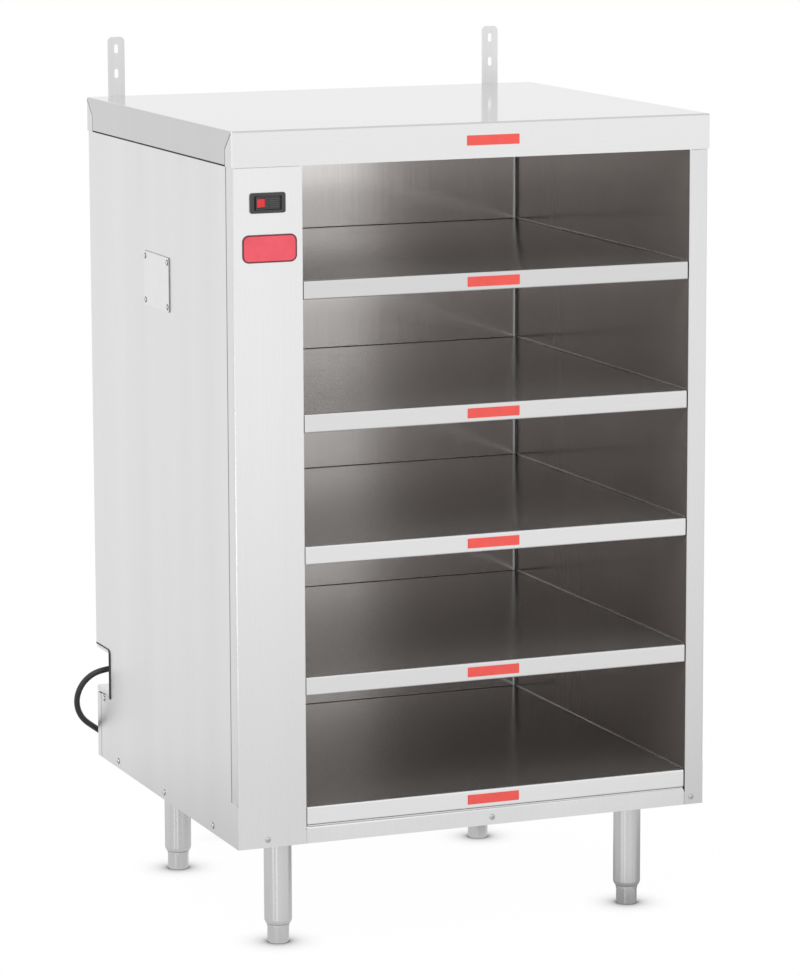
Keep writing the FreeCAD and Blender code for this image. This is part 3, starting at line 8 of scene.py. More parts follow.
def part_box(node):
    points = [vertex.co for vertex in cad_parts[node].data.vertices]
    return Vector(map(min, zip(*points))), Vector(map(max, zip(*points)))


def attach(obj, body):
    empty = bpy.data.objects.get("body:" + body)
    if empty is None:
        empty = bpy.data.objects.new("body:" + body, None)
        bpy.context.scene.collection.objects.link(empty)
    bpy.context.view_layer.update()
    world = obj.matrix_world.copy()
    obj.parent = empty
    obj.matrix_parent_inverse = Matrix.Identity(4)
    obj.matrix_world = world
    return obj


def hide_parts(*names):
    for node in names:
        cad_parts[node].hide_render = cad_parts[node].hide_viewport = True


# Heated holding shelf: the looks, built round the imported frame. Metres, in the frame of the
# part: X to the right, Y to the rear, Z up, with the floor at zero.

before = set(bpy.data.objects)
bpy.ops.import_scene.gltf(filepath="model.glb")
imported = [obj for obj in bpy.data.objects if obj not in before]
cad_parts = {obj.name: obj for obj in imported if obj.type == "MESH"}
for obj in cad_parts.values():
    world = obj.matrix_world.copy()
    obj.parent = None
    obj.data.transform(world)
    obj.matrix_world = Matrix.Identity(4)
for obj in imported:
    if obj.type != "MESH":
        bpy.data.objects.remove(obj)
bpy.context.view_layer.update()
scene = bpy.context.scene
scene.view_settings.view_transform = "Standard"

MM = 0.001
SHEET_GAUGE = 1.2 * MM
FOLD_RADIUS = 2.4 * MM
SMOOTH_ANGLE = math.radians(35)
FLAT_ANGLE = math.radians(0.6)
FOLD_ANGLE = math.radians(60)
SQUARE_ON = 0.9
CLEARANCE = 0.2 * MM
MERGE_REACH = 0.005 * MM
WELD_REACH = 0.001 * MM
SHELF_COUNT = 5

# Camera at the photograph's viewing angle
CAMERA_TURN = math.radians(-21.946)
CAMERA_RISE = math.radians(9.796)
CAMERA_ROLL = math.radians(-0.173)
CAMERA_DISTANCE = 6.0598
CAMERA_TARGET = Vector((0.0, 0.0, 0.632))
CAMERA_SIDEWAYS = 0.0116
CAMERA_UPWARD = -0.0586
CAMERA_LENS = 158.88
CAMERA_SENSOR = 36.0


def make_camera():
    back = Vector((
        math.sin(CAMERA_TURN) * math.cos(CAMERA_RISE),
        -math.cos(CAMERA_TURN) * math.cos(CAMERA_RISE),
        math.sin(CAMERA_RISE),
    ))
    level = Vector((math.cos(CAMERA_TURN), math.sin(CAMERA_TURN), 0.0))
    upright = back.cross(level)
    across = level * math.cos(CAMERA_ROLL) + upright * math.sin(CAMERA_ROLL)
    up = upright * math.cos(CAMERA_ROLL) - level * math.sin(CAMERA_ROLL)
    place = CAMERA_TARGET + back * CAMERA_DISTANCE + across * CAMERA_SIDEWAYS + up * CAMERA_UPWARD
    bpy.ops.object.camera_add()
    camera = bpy.context.object
    camera.matrix_world = Matrix.Translation(place) @ Matrix((across, up, back)).transposed().to_4x4()
    camera.data.sensor_width = CAMERA_SENSOR
    camera.data.lens = CAMERA_LENS
    scene.camera = camera


# Selecting and shaping

def release():
    """Leaves edit mode with nothing selected, before a new primitive is added."""
    if bpy.context.mode != "OBJECT":
        bpy.ops.object.mode_set(mode="OBJECT")
    bpy.ops.object.select_all(action="DESELECT")


def take(piece):
    """Makes one object the only selected and the active one."""
    release()
    piece.select_set(True)
    bpy.context.view_layer.objects.active = piece


def named(piece, name):
    piece.name = name
    piece.data.name = name
    return piece


def open_whole(piece):
    """Opens a piece in edit mode with everything selected."""
    take(piece)
    bpy.ops.object.mode_set(mode="EDIT")
    bpy.ops.mesh.select_all(action="SELECT")


def close_mesh():
    bpy.ops.object.mode_set(mode="OBJECT")


def pick(piece, kind, test):
    """Opens a piece and selects the parts that pass a test; kind is EDGE or FACE."""
    take(piece)
    bpy.ops.object.mode_set(mode="EDIT")
    bpy.ops.mesh.select_mode(type=kind)
    bpy.ops.mesh.select_all(action="DESELECT")
    mesh = bmesh.from_edit_mesh(piece.data)
    for part in mesh.edges if kind == "EDGE" else mesh.faces:
        if test(part):
            part.select_set(True)
    bmesh.update_edit_mesh(piece.data)


def bevel_edges(piece, test, width, segments=3):
    pick(piece, "EDGE", test)
    bpy.ops.mesh.bevel(offset=width, segments=segments, affect="EDGES", clamp_overlap=False)
    close_mesh()


def along(edge, axis):
    """True for an edge that runs along the X, Y or Z axis, given as 0, 1 or 2."""
    run = edge.verts[1].co - edge.verts[0].co
    return abs(run[axis]) > 0.98 * run.length


def all_near(edge, axis, value, reach=0.05 * MM):
    return all(abs(vertex.co[axis] - value) < reach for vertex in edge.verts)


def bevel_along(piece, axis, width, segments):
    """Rounds the edges of a piece that run along one axis."""
    bevel_edges(piece, lambda edge: along(edge, axis), width, segments)


def apply_modifier(piece, kind, **settings):
    take(piece)
    modifier = piece.modifiers.new(kind.lower(), kind)
    for key, value in settings.items():
        setattr(modifier, key, value)
    bpy.ops.object.modifier_apply(modifier=modifier.name)


def soften(piece, width, segments, degrees):
    """Rounds every edge of a piece that is sharper than an angle."""
    apply_modifier(piece, "BEVEL", width=width, segments=segments, limit_method="ANGLE",
                   angle_limit=math.radians(degrees))


def cut_away(piece, cutter):
    """Takes another solid's shape out of a piece and removes that solid."""
    apply_modifier(piece, "BOOLEAN", object=cutter, operation="DIFFERENCE", solver="EXACT", use_self=True)
    take(cutter)
    bpy.ops.object.delete()


def join(pieces, name):
    """One object from several, under a new name."""
    take(pieces[0])
    for piece in pieces[1:]:
        piece.select_set(True)
    bpy.ops.object.join()
    return named(bpy.context.object, name)


def settle_place(piece):
    """Moves an object's place into its mesh."""
    take(piece)
    bpy.ops.object.transform_apply(location=True, rotation=True, scale=True)


def block(name, corner, far_corner):
    """A box between two opposite corners, to be shaped further."""
    release()
    bpy.ops.mesh.primitive_cube_add(size=1.0)
    piece = named(bpy.context.object, name)
    piece.location = (Vector(corner) + Vector(far_corner)) / 2
    piece.scale = [abs(length) for length in Vector(far_corner) - Vector(corner)]
    settle_place(piece)
    return piece


def bar(name, corner, far_corner, axis, width, segments=2):
    """A box with its edges along one axis rounded."""
    piece = block(name, corner, far_corner)
    bevel_along(piece, axis, width, segments)
    return piece


def turned(name, profile, base, way, steps=48):
    """A round piece: a profile of (radius, height) points spun about an axis through base."""
    release()
    way = Vector(way)
    side = way.orthogonal().normalized()
    base = Vector(base)
    bpy.ops.mesh.primitive_plane_add(size=MM)
    piece = named(bpy.context.object, name)
    bpy.ops.object.mode_set(mode="EDIT")
    bpy.ops.mesh.select_mode(type="VERT")
    bpy.ops.mesh.select_all(action="SELECT")
    bpy.ops.mesh.merge(type="CENTER")
    points = [base + side * radius + way * height for radius, height in profile]
    bpy.ops.transform.translate(value=points[0])
    for before, after in zip(points, points[1:]):
        bpy.ops.mesh.extrude_vertices_move(TRANSFORM_OT_translate={"value": after - before})
    bpy.ops.mesh.select_all(action="SELECT")
    bpy.ops.mesh.spin(steps=steps, angle=math.tau, center=base, axis=way)
    bpy.ops.mesh.select_all(action="SELECT")
    bpy.ops.mesh.remove_doubles(threshold=WELD_REACH)
    bpy.ops.mesh.normals_make_consistent(inside=False)
    close_mesh()
    settle_place(piece)
    return piece


def in_metres(profile):
    return [(radius * MM, height * MM) for radius, height in profile]


def tube(name, kind, points, radius, facets):
    """A round tube along a line of points, with its spline; kind is POLY or NURBS."""
    curve = bpy.data.curves.new(name, "CURVE")
    curve.dimensions = "3D"
    curve.bevel_depth = radius
    curve.bevel_resolution = facets
    curve.use_fill_caps = True
    spline = curve.splines.new(kind)
    spline.points.add(len(points) - 1)
    for point, place in zip(spline.points, points):
        point.co = (*place, 1.0)
    piece = bpy.data.objects.new(name, curve)
    scene.collection.objects.link(piece)
    return piece, spline


def copies(master, name, placings):
    """A piece that repeats: one copy of a master at each placing, joined, each with its own mesh."""
    made = []
    for placing in placings:
        take(master)
        bpy.ops.object.duplicate(linked=False)
        copy = bpy.context.object
        copy.matrix_world = placing
        settle_place(copy)
        made.append(copy)
    take(master)
    bpy.ops.object.delete()
    return join(made, name)


def merged_copy(node, name):
    """A copy of a CAD node's mesh, with its triangles merged into whole faces."""
    piece = bpy.data.objects.new(name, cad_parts[node].data.copy())
    piece.data.name = name
    scene.collection.objects.link(piece)
    take(piece)
    bpy.ops.mesh.customdata_custom_splitnormals_clear()
    open_whole(piece)
    bpy.ops.mesh.remove_doubles(threshold=MERGE_REACH)
    bpy.ops.mesh.dissolve_limited(angle_limit=FLAT_ANGLE)
    close_mesh()
    return piece


def breadth(face):
    """How broad a face is, whatever its outline: a cut edge measures about one gauge."""
    return 2 * face.calc_area() / face.calc_perimeter()


def is_fold(edge, outer):
    """True where two broad faces meet square: a fold of the sheet and not its cut edge."""
    if len(edge.link_faces) != 2 or edge.calc_length() < SHEET_GAUGE:
        return False
    angle = edge.calc_face_angle_signed(0.0)
    if not outer:
        angle = -angle
    if angle < FOLD_ANGLE:
        return False
    return min(breadth(face) for face in edge.link_faces) > 2 * SHEET_GAUGE


def round_folds(piece, radius):
    """Gives the folds of a sheet their bend radius, outside and inside."""
    bevel_edges(piece, lambda edge: is_fold(edge, True), radius, 4)
    bevel_edges(piece, lambda edge: is_fold(edge, False), radius - SHEET_GAUGE, 3)


def unwrap_flat(piece):
    """A map that follows the sheet's own directions, for the brushing."""
    open_whole(piece)
    bpy.ops.uv.cube_project(cube_size=1.0)
    close_mesh()


def dress(piece, materials):
    """Gives a piece its materials, with all faces on the first."""
    piece.data.materials.clear()
    for material in materials:
        piece.data.materials.append(material)


def settle(piece, materials, nodes, body="cabinet"):
    """Gives a finished piece its materials, its body and the nodes that it stands for."""
    take(piece)
    bpy.ops.object.shade_smooth_by_angle(angle=SMOOTH_ANGLE)
    apply_modifier(piece, "WEIGHTED_NORMAL", weight=100, keep_sharp=True)
    if list(piece.data.materials) != materials:
        dress(piece, materials)
    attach(piece, body)
    if nodes:
        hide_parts(*nodes)


def paint_faces(piece, index, test):
    """Gives the faces that pass a test another of the piece's materials."""
    for face in piece.data.polygons:
        if test(face):
            face.material_index = index


# Materials

GRAIN_UPRIGHT = (1700.0, 1700.0, 7.0)
GRAIN_ACROSS = (7.0, 1700.0, 1700.0)
SMUDGE_SIZE = 23.0
SMUDGE_GLOSS = 0.03
GLOSS_SWING = 0.15
BRUSHING_DEPTH = 0.02 * MM
MOULDED_SIZE = 1400.0
MOULDED_GLOSS = 0.06
MOULDED_DEPTH = 0.05 * MM
PLATING_SIZE = 300.0
PLATING_TONE = 0.06
PLATING_SMOOTH = 0.04
PLATING_ROUGH = 0.06
FIBRE_TONE = 0.25
FIBRE_GLOSS = (0.8, 0.95)
FIBRE_RELIEF = 0.6


def node(tree, kind, inputs=None, **settings):
    """A new node; each input is a plain value, or another node's output to be wired to it."""
    made = tree.nodes.new(kind)
    for key, value in settings.items():
        setattr(made, key, value)
    for key, value in (inputs or {}).items():
        if isinstance(value, bpy.types.NodeSocket):
            tree.links.new(value, made.inputs[key])
        else:
            made.inputs[key].default_value = value
    return made


def new_group(name, inputs, outputs):
    tree = bpy.data.node_groups.new(name, "ShaderNodeTree")
    for socket, kind, value in inputs:
        made = tree.interface.new_socket(socket, in_out="INPUT", socket_type=kind)
        made.default_value = value
    for socket in outputs:
        tree.interface.new_socket(socket, in_out="OUTPUT", socket_type="NodeSocketFloat")
    return tree, node(tree, "NodeGroupInput"), node(tree, "NodeGroupOutput")


def spread(tree, source, low, high, into_low=0.0, into_high=1.0, kind="LINEAR"):
    """Maps one range of a texture or a distance onto another range."""
    made = node(tree, "ShaderNodeMapRange", {
        "Value": source, "From Min": low, "From Max": high, "To Min": into_low, "To Max": into_high,
    }, interpolation_type=kind)
    return made.outputs["Result"]


def noise_into(tree, given, output, middle, inputs):
    """One noise texture, with its middle range spread out and given under a name."""
    noise = node(tree, "ShaderNodeTexNoise", inputs)
    tree.links.new(spread(tree, noise.outputs["Fac"], *middle), given.inputs[output])


def object_place(tree):
    return node(tree, "ShaderNodeTexCoord").outputs["Object"]


def make_brushed_grain():
    """Fine brushing lines, streaks and broad bands, stretched along the grain."""
    tree, taken, given = new_group(
        "brushed grain", [("Stretch", "NodeSocketVector", GRAIN_UPRIGHT)], ["Fine", "Streak", "Band"])
    scaled = node(tree, "ShaderNodeVectorMath", {0: object_place(tree), 1: taken.outputs["Stretch"]},
                  operation="MULTIPLY")
    for output, scale, detail in (("Fine", 1.0, 2.0), ("Streak", 0.16, 3.0), ("Band", 0.005, 1.0)):
        noise_into(tree, given, output, (0.3, 0.7),
                   {"Vector": scaled.outputs["Vector"], "Scale": scale, "Detail": detail})
    return tree


def make_handling_marks():
    """Small smudges, from wiping and handling."""
    tree, taken, given = new_group(
        "handling marks", [("Size", "NodeSocketFloat", SMUDGE_SIZE)], ["Smudge"])
    noise_into(tree, given, "Smudge", (0.52, 0.75), {
        "Vector": object_place(tree), "Scale": taken.outputs["Size"], "Detail": 4.0, "Distortion": 0.8})
    return tree


def make_moulded_skin():
    """The fine skin of moulded plastic and rubber, with a slow change of tone."""
    tree, taken, given = new_group(
        "moulded skin", [("Size", "NodeSocketFloat", MOULDED_SIZE)], ["Skin", "Tone"])
    place = object_place(tree)
    noise_into(tree, given, "Skin", (0.25, 0.75),
               {"Vector": place, "Scale": taken.outputs["Size"], "Detail": 3.0})
    noise_into(tree, given, "Tone", (0.3, 0.7), {"Vector": place, "Scale": 55.0, "Detail": 2.0})
    return tree


brushed_grain = make_brushed_grain()
handling_marks = make_handling_marks()
moulded_skin = make_moulded_skin()


def combine(tree, operation, *values):
    made = node(tree, "ShaderNodeMath", dict(enumerate(values)), operation=operation)
    return made.outputs["Value"]


def new_material(name):
    material = bpy.data.materials.new(name)
    material.use_nodes = True
    tree = material.node_tree
    return material, tree, tree.nodes["Principled BSDF"]


def grouped(tree, group, inputs):
    return node(tree, "ShaderNodeGroup", inputs, node_tree=group).outputs


def scaled_colour(colour, share):
    return tuple(min(1.0, channel * share) for channel in colour)


def tones(tree, factor, colour, swing, shader):
    """Base colour that moves a little darker and lighter with a texture."""
    dark, light = [(*scaled_colour(colour, share), 1.0) for share in (1 - swing, 1 + swing)]
    mix = node(tree, "ShaderNodeMix", {0: factor, 6: dark, 7: light}, data_type="RGBA")
    tree.links.new(mix.outputs[2], shader.inputs["Base Color"])


def relief(tree, height, shader, strength, depth):
    bump = node(tree, "ShaderNodeBump", {"Strength": strength, "Distance": depth, "Height": height})
    tree.links.new(bump.outputs["Normal"], shader.inputs["Normal"])


def steel(name, colour, roughness, grain=GRAIN_UPRIGHT, tone=0.006, band=0.015, brushing=0.05, stretch=0.0,
          turn=0.0, metal=1.0):
    """Brushed sheet steel: lines along the grain in tone, gloss and relief, with soft broad bands."""
    material, tree, shader = new_material(name)
    lines = grouped(tree, brushed_grain, {"Stretch": grain})
    marks = grouped(tree, handling_marks, {"Size": SMUDGE_SIZE})
    swing = tone + band
    share = tone / swing
    broad = combine(tree, "MULTIPLY", lines["Band"], 1 - share)
    blend = combine(tree, "MULTIPLY_ADD", lines["Streak"], share, broad)
    tones(tree, blend, colour, swing, shader)
    smooth = roughness * (1 - GLOSS_SWING)
    rough = roughness * (1 + GLOSS_SWING)
    gloss = spread(tree, lines["Fine"], 0.0, 1.0, smooth, rough)
    shine = combine(tree, "MULTIPLY_ADD", marks["Smudge"], SMUDGE_GLOSS, gloss)
    tree.links.new(shine, shader.inputs["Roughness"])
    relief(tree, lines["Fine"], shader, brushing, BRUSHING_DEPTH)
    shader.inputs["Metallic"].default_value = metal
    if stretch:
        shader.inputs["Anisotropic"].default_value = stretch
        shader.inputs["Anisotropic Rotation"].default_value = turn
        tangent = node(tree, "ShaderNodeTangent", direction_type="UV_MAP")
        tree.links.new(tangent.outputs["Tangent"], shader.inputs["Tangent"])
    return material


def skinned(name, colour, tone, size, smooth, rough):
    """A material whose tone and gloss follow a fine skin."""
    material, tree, shader = new_material(name)
    skin = grouped(tree, moulded_skin, {"Size": size})
    tones(tree, skin["Tone"], colour, tone, shader)
    tree.links.new(spread(tree, skin["Skin"], 0.0, 1.0, smooth, rough), shader.inputs["Roughness"])
    return material, tree, shader, skin


def plain_metal(name, colour, roughness):
    """Plated or turned metal: a fine even skin with small changes of tone and gloss."""
    material, _, shader, _ = skinned(
        name, colour, PLATING_TONE, PLATING_SIZE, roughness - PLATING_SMOOTH, roughness + PLATING_ROUGH)
    shader.inputs["Metallic"].default_value = 1.0
    return material


def moulded(name, colour, roughness, size=MOULDED_SIZE, tone=0.12, strength=0.25):
    """Moulded plastic or rubber with a fine skin."""
    material, tree, shader, skin = skinned(
        name, colour, tone, size, roughness - MOULDED_GLOSS, roughness + MOULDED_GLOSS)
    relief(tree, skin["Skin"], shader, strength, MOULDED_DEPTH)
    return material


def fibrous(name, colour, size, depth=1.0 * MM):
    """Matted or woven fibre: crossed fine threads with loose tone."""
    material, tree, shader = new_material(name)
    wave = node(tree, "ShaderNodeTexWave", {
        "Vector": object_place(tree), "Scale": size, "Distortion": 6.0, "Detail": 3.0})
    threads = wave.outputs["Fac"]
    tones(tree, threads, colour, FIBRE_TONE, shader)
    tree.links.new(spread(tree, threads, 0.0, 1.0, *FIBRE_GLOSS), shader.inputs["Roughness"])
    relief(tree, threads, shader, FIBRE_RELIEF, depth)
    return material


front_finish = steel("front steel", (0.855, 0.855, 0.86), 0.30, tone=0.004, band=0.01, brushing=0.03)
apron_finish = steel("apron steel", (0.90, 0.90, 0.905), 0.30)
# Painted shade: the columns' side returns take a darker copy of the front steel, for the shade on them.
shaded_return_finish = steel("column return steel painted shade", (0.70, 0.70, 0.705), 0.30)
# Painted shade: the right stile's front is a darker copy of the column's front steel, for the light falling
# off to the right.
shaded_stile_finish = steel("stile steel painted shade", (0.77, 0.77, 0.775), 0.30)
side_finish = steel("side steel", (0.755, 0.755, 0.76), 0.38, band=0.025)
cover_finish = steel("cover steel", (0.63, 0.63, 0.635), 0.08, GRAIN_ACROSS, band=0.01)
header_finish = steel("header steel", (0.83, 0.83, 0.835), 0.30, GRAIN_ACROSS, tone=0.004, band=0.01,
                      brushing=0.03)
# Painted shade: the top cover's side skirts and tabs take darker copies of its steel than the header.
shaded_skirt_finish = steel("skirt steel painted shade", (0.56, 0.56, 0.565), 0.22)
shaded_tab_finish = steel("cover tab steel painted shade", (0.68, 0.68, 0.685), 0.26)
# Painted light and shade inside the compartments: the rear wall takes a light copy of the liner steel, the
# side walls and ceiling a dark one.
lit_rear_liner_finish = steel("rear liner steel", (0.80, 0.77, 0.755), 0.17, tone=0.02, band=0.03,
                          stretch=0.6, metal=0.95)
shaded_liner_finish = steel("liner steel", (0.255, 0.225, 0.212), 0.20, tone=0.02, band=0.04,
                     stretch=0.7, metal=0.62)
# Painted shade: the shelf pans are darker than their steel, for the shade inside the compartments.
shaded_shelf_finish = steel("shelf steel painted shade", (0.37, 0.355, 0.34), 0.17, GRAIN_ACROSS, tone=0.02, band=0.02,
                     metal=0.72)
lip_finish = steel("lip steel", (0.80, 0.80, 0.80), 0.42, GRAIN_ACROSS)
# Painted light and shade: each shelf lip takes its own tone of one steel, from the bottom shelf to the top
# one
LIP_PAINTED_TONES = [0.90, 0.82, 0.85, 0.79, 0.72]
painted_lip_finishes = [
    steel(f"lip steel {number}", (tone, tone, tone), 0.42, GRAIN_ACROSS)
    for number, tone in enumerate(LIP_PAINTED_TONES, 1)]
access_finish = steel("access cover steel", (0.76, 0.76, 0.765), 0.28)
pocket_finish = steel("pocket steel", (0.74, 0.74, 0.74), 0.28)
strap_finish = steel("strap steel", (0.80, 0.80, 0.80), 0.34, tone=0.02)
leg_finish = steel("leg steel", (0.75, 0.75, 0.75), 0.25, tone=0.03, band=0.02, stretch=0.8, turn=0.25)
foot_finish = steel("foot steel", (0.72, 0.72, 0.72), 0.22, tone=0.03, band=0.02, stretch=0.8, turn=0.25)
screw_finish = plain_metal("screw steel", (0.72, 0.72, 0.72), 0.14)
# Painted shade: a darker copy of the screw steel for the heads that face the front.
shaded_front_screw_finish = plain_metal("front screw steel painted shade", (0.60, 0.60, 0.60), 0.50)
plated_finish = plain_metal("plated steel", (0.62, 0.61, 0.58), 0.30)
rivet_finish = plain_metal("rivet aluminium", (0.70, 0.70, 0.71), 0.32)
prong_finish = plain_metal("prong brass", (0.72, 0.58, 0.32), 0.22)
switch_finish = moulded("switch plastic", (0.036, 0.036, 0.038), 0.34)
# Painted highlight: the rocker's ribs are lighter than the rocker, for the light they catch.
rib_highlight_finish = moulded("rocker rib painted highlight", (0.085, 0.085, 0.088), 0.40)
lens_finish = moulded("lens plastic", (0.66, 0.018, 0.022), 0.20, strength=0.04)
badge_finish = moulded("badge enamel", (0.72, 0.075, 0.105), 0.26, tone=0.06, strength=0.05)
badge_rim_finish = moulded("badge rim enamel", (0.12, 0.018, 0.026), 0.30, strength=0.05)
marker_finish = moulded("marker vinyl", (0.76, 0.080, 0.065), 0.42, tone=0.05, strength=0.06)
rubber_finish = moulded("black rubber", (0.016, 0.016, 0.016), 0.5)
# Painted shade: black strips stand in for the shade in the gaps under the side skirts and behind the tab
# slits.
shade_gap_finish = moulded("painted shade strip", (0.020, 0.020, 0.020), 0.8, size=900.0)
# Dark sealant in the seams, and painted shade on the access cover's edges and round the legs' mouths.
sealant_and_shade_finish = moulded("seam sealant and painted shade", (0.20, 0.20, 0.205), 0.6)
# Painted shade: a pale grey strip under the header stands in for the shade line below it.
header_shade_finish = moulded("painted shade bead", (0.52, 0.52, 0.525), 0.5)
relief_finish = moulded("relief plastic", (0.022, 0.022, 0.023), 0.42)
cord_finish = moulded("cord rubber", (0.018, 0.018, 0.019), 0.40)
plug_finish = moulded("plug rubber", (0.020, 0.020, 0.021), 0.44)
heater_finish = moulded("heater mat", (0.42, 0.12, 0.05), 0.55, size=600.0)
thermostat_finish = moulded("thermostat plastic", (0.05, 0.045, 0.04), 0.4)
terminal_finish = moulded("terminal plastic", (0.62, 0.58, 0.48), 0.45)
wire_finish = moulded("wire plastic", (0.30, 0.28, 0.26), 0.40)
blanket_finish = fibrous("blanket fibre", (0.62, 0.56, 0.40), 220.0)
tie_finish = fibrous("tie fabric", (0.030, 0.030, 0.032), 900.0, depth=0.2 * MM)

NODE_FINISHES = {
    "leg_mount_plates": plated_finish,
    "leg_nuts": plated_finish,
    "control_bracket": plated_finish,
    "shelf_rivets": rivet_finish,
    "shelf_heaters": heater_finish,
    "shelf_thermostats": thermostat_finish,
    "insulation_left": blanket_finish,
    "insulation_right": blanket_finish,
    "insulation_rear": blanket_finish,
    "insulation_top": blanket_finish,
    "terminal_block": terminal_finish,
    "wiring_harness": wire_finish,
    "wire_grommets": rubber_finish,
}


def dress_nodes():
    """The CAD nodes that stay as they are get their materials."""
    for name, material in NODE_FINISHES.items():
        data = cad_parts[name].data
        data.materials.clear()
        data.materials.append(material)


# Studio: a white floor with contact shadows, a soft world and soft lamps

WORLD_SEEN = 1.0
WORLD_LIGHT = 0.98
FLOOR_SIZE = 60.0
FLOOR_COLOUR = (0.9, 0.9, 0.9, 1.0)
FLOOR_GLOW_SHARE = 0.985
SHADOW_REACH = 55 * MM
# Steps of the floor's brightness in metal: start and end in metres, with the values there
FLOOR_BEFORE = (0.30, 0.60, 0.74, 0.50)
FLOOR_RIGHT = (-0.05, 0.25, 0.64, 0.36)
FLOOR_REAR = (0.02, 0.20, 0.30, 0.66)
FLOOR_FRONT_EDGE = (-0.42, -0.26, 0.0, 1.0)
FLOOR_FRONT_FALL = (0.8, 4.5, 0.72, 1.0)
FLOOR_REAR_FALL = (0.8, 4.5, 0.92, 1.0)
FLOOR_MIDDLE = (-0.3, 0.3, 0.0, 1.0)
FLOOR_NEAR_END = (0.70, 1.10, 0.0, 1.0)
# The same for the contact shadow: start and end of openness, with the brightness there
FLOOR_CONTACT = (0.40, 0.99, 0.10, 1.0)


def make_world():
    world = bpy.data.worlds.new("studio")
    scene.world = world
    world.use_nodes = True
    tree = world.node_tree
    tree.nodes.clear()
    white = (1.0, 1.0, 1.0, 1.0)
    seen = node(tree, "ShaderNodeBackground", {"Color": white, "Strength": WORLD_SEEN})
    light = node(tree, "ShaderNodeBackground", {"Color": white, "Strength": WORLD_LIGHT})
    path = node(tree, "ShaderNodeLightPath")
    mix = node(tree, "ShaderNodeMixShader", {
        0: path.outputs["Is Camera Ray"], 1: light.outputs["Background"], 2: seen.outputs["Background"]})
    node(tree, "ShaderNodeOutputWorld", {"Surface": mix.outputs["Shader"]})


def ramp(tree, source, *step):
    """A soft step from one value to another."""
    return spread(tree, source, *step, kind="SMOOTHSTEP")


def blend_values(tree, share, first, second):
    return node(tree, "ShaderNodeMix", {0: share, 2: first, 3: second}, data_type="FLOAT").outputs[0]


def floor_glow(tree):
    """How bright the floor looks in polished metal, by its place: shaded round the legs, clear beyond."""
    place = object_place(tree)
    parts = node(tree, "ShaderNodeSeparateXYZ", {"Vector": place})
    x = parts.outputs["X"]
    y = parts.outputs["Y"]
    distance = node(tree, "ShaderNodeVectorMath", {0: place}, operation="LENGTH").outputs["Value"]
    under = combine(tree, "MAXIMUM", ramp(tree, x, *FLOOR_RIGHT), ramp(tree, y, *FLOOR_REAR))
    near = blend_values(tree, ramp(tree, y, *FLOOR_FRONT_EDGE), ramp(tree, x, *FLOOR_BEFORE), under)
    front_fall = ramp(tree, distance, *FLOOR_FRONT_FALL)
    rear_fall = ramp(tree, distance, *FLOOR_REAR_FALL)
    far = blend_values(tree, ramp(tree, y, *FLOOR_MIDDLE), front_fall, rear_fall)
    return blend_values(tree, ramp(tree, distance, *FLOOR_NEAR_END), near, far)


def make_floor():
    release()
    bpy.ops.mesh.primitive_plane_add(size=FLOOR_SIZE)
    floor = bpy.context.object
    floor.name = "studio_floor"
    material = bpy.data.materials.new("studio floor")
    material.use_nodes = True
    tree = material.node_tree
    tree.nodes.clear()
    path = node(tree, "ShaderNodeLightPath").outputs
    near = node(tree, "ShaderNodeAmbientOcclusion", {"Distance": SHADOW_REACH}, samples=16)
    contact = ramp(tree, near.outputs["AO"], *FLOOR_CONTACT)
    shade = blend_values(tree, path["Is Glossy Ray"], contact, floor_glow(tree))
    matt = node(tree, "ShaderNodeBsdfDiffuse", {"Color": FLOOR_COLOUR})
    glow = node(tree, "ShaderNodeEmission", {"Color": shade, "Strength": 1.0})
    direct = combine(tree, "MAXIMUM", path["Is Camera Ray"], path["Is Glossy Ray"])
    seen = combine(tree, "MAXIMUM", direct, path["Is Transmission Ray"])
    share = combine(tree, "MULTIPLY", seen, FLOOR_GLOW_SHARE)
    mix = node(tree, "ShaderNodeMixShader", {0: share, 1: matt.outputs["BSDF"], 2: glow.outputs["Emission"]})
    node(tree, "ShaderNodeOutputMaterial", {"Surface": mix.outputs["Shader"]})
    floor.data.materials.append(material)


MAIN_LAMP_PLACE = (-2.2, -2.6, 3.4)
MAIN_LAMP_AIM = (0.0, 0.0, 0.6)
MAIN_LAMP_SIZE = 2.2
MAIN_LAMP_POWER = 45.0
STRIP_HEADINGS = [-147, -122]
STRIP_WIDTH = 0.15
STRIP_POWER = 1.3
STRIP_HEIGHT = 0.5
STRIP_DISTANCE = 2.3


def area_lamp(place, aim, width, height, power):
    release()
    bpy.ops.object.light_add(type="AREA", location=place)
    lamp = bpy.context.object
    lamp.data.shape = "RECTANGLE"
    lamp.data.size = width
    lamp.data.size_y = height
    lamp.data.energy = power
    lamp.rotation_euler = (Vector(aim) - Vector(place)).to_track_quat("-Z", "Y").to_euler()
    lamp.visible_camera = False


def make_lamps():
    """One large soft lamp from the upper left, and low strips that draw highlights on the round legs."""
    area_lamp(MAIN_LAMP_PLACE, MAIN_LAMP_AIM, MAIN_LAMP_SIZE, MAIN_LAMP_SIZE, MAIN_LAMP_POWER)
    middle = STRIP_HEIGHT / 2
    for degrees in STRIP_HEADINGS:
        heading = math.radians(degrees)
        place = (STRIP_DISTANCE * math.cos(heading), STRIP_DISTANCE * math.sin(heading), middle)
        area_lamp(place, (0.0, 0.0, middle), STRIP_WIDTH, STRIP_HEIGHT, STRIP_POWER)


# Power cord: the same route as the part's solid, on one smooth spline

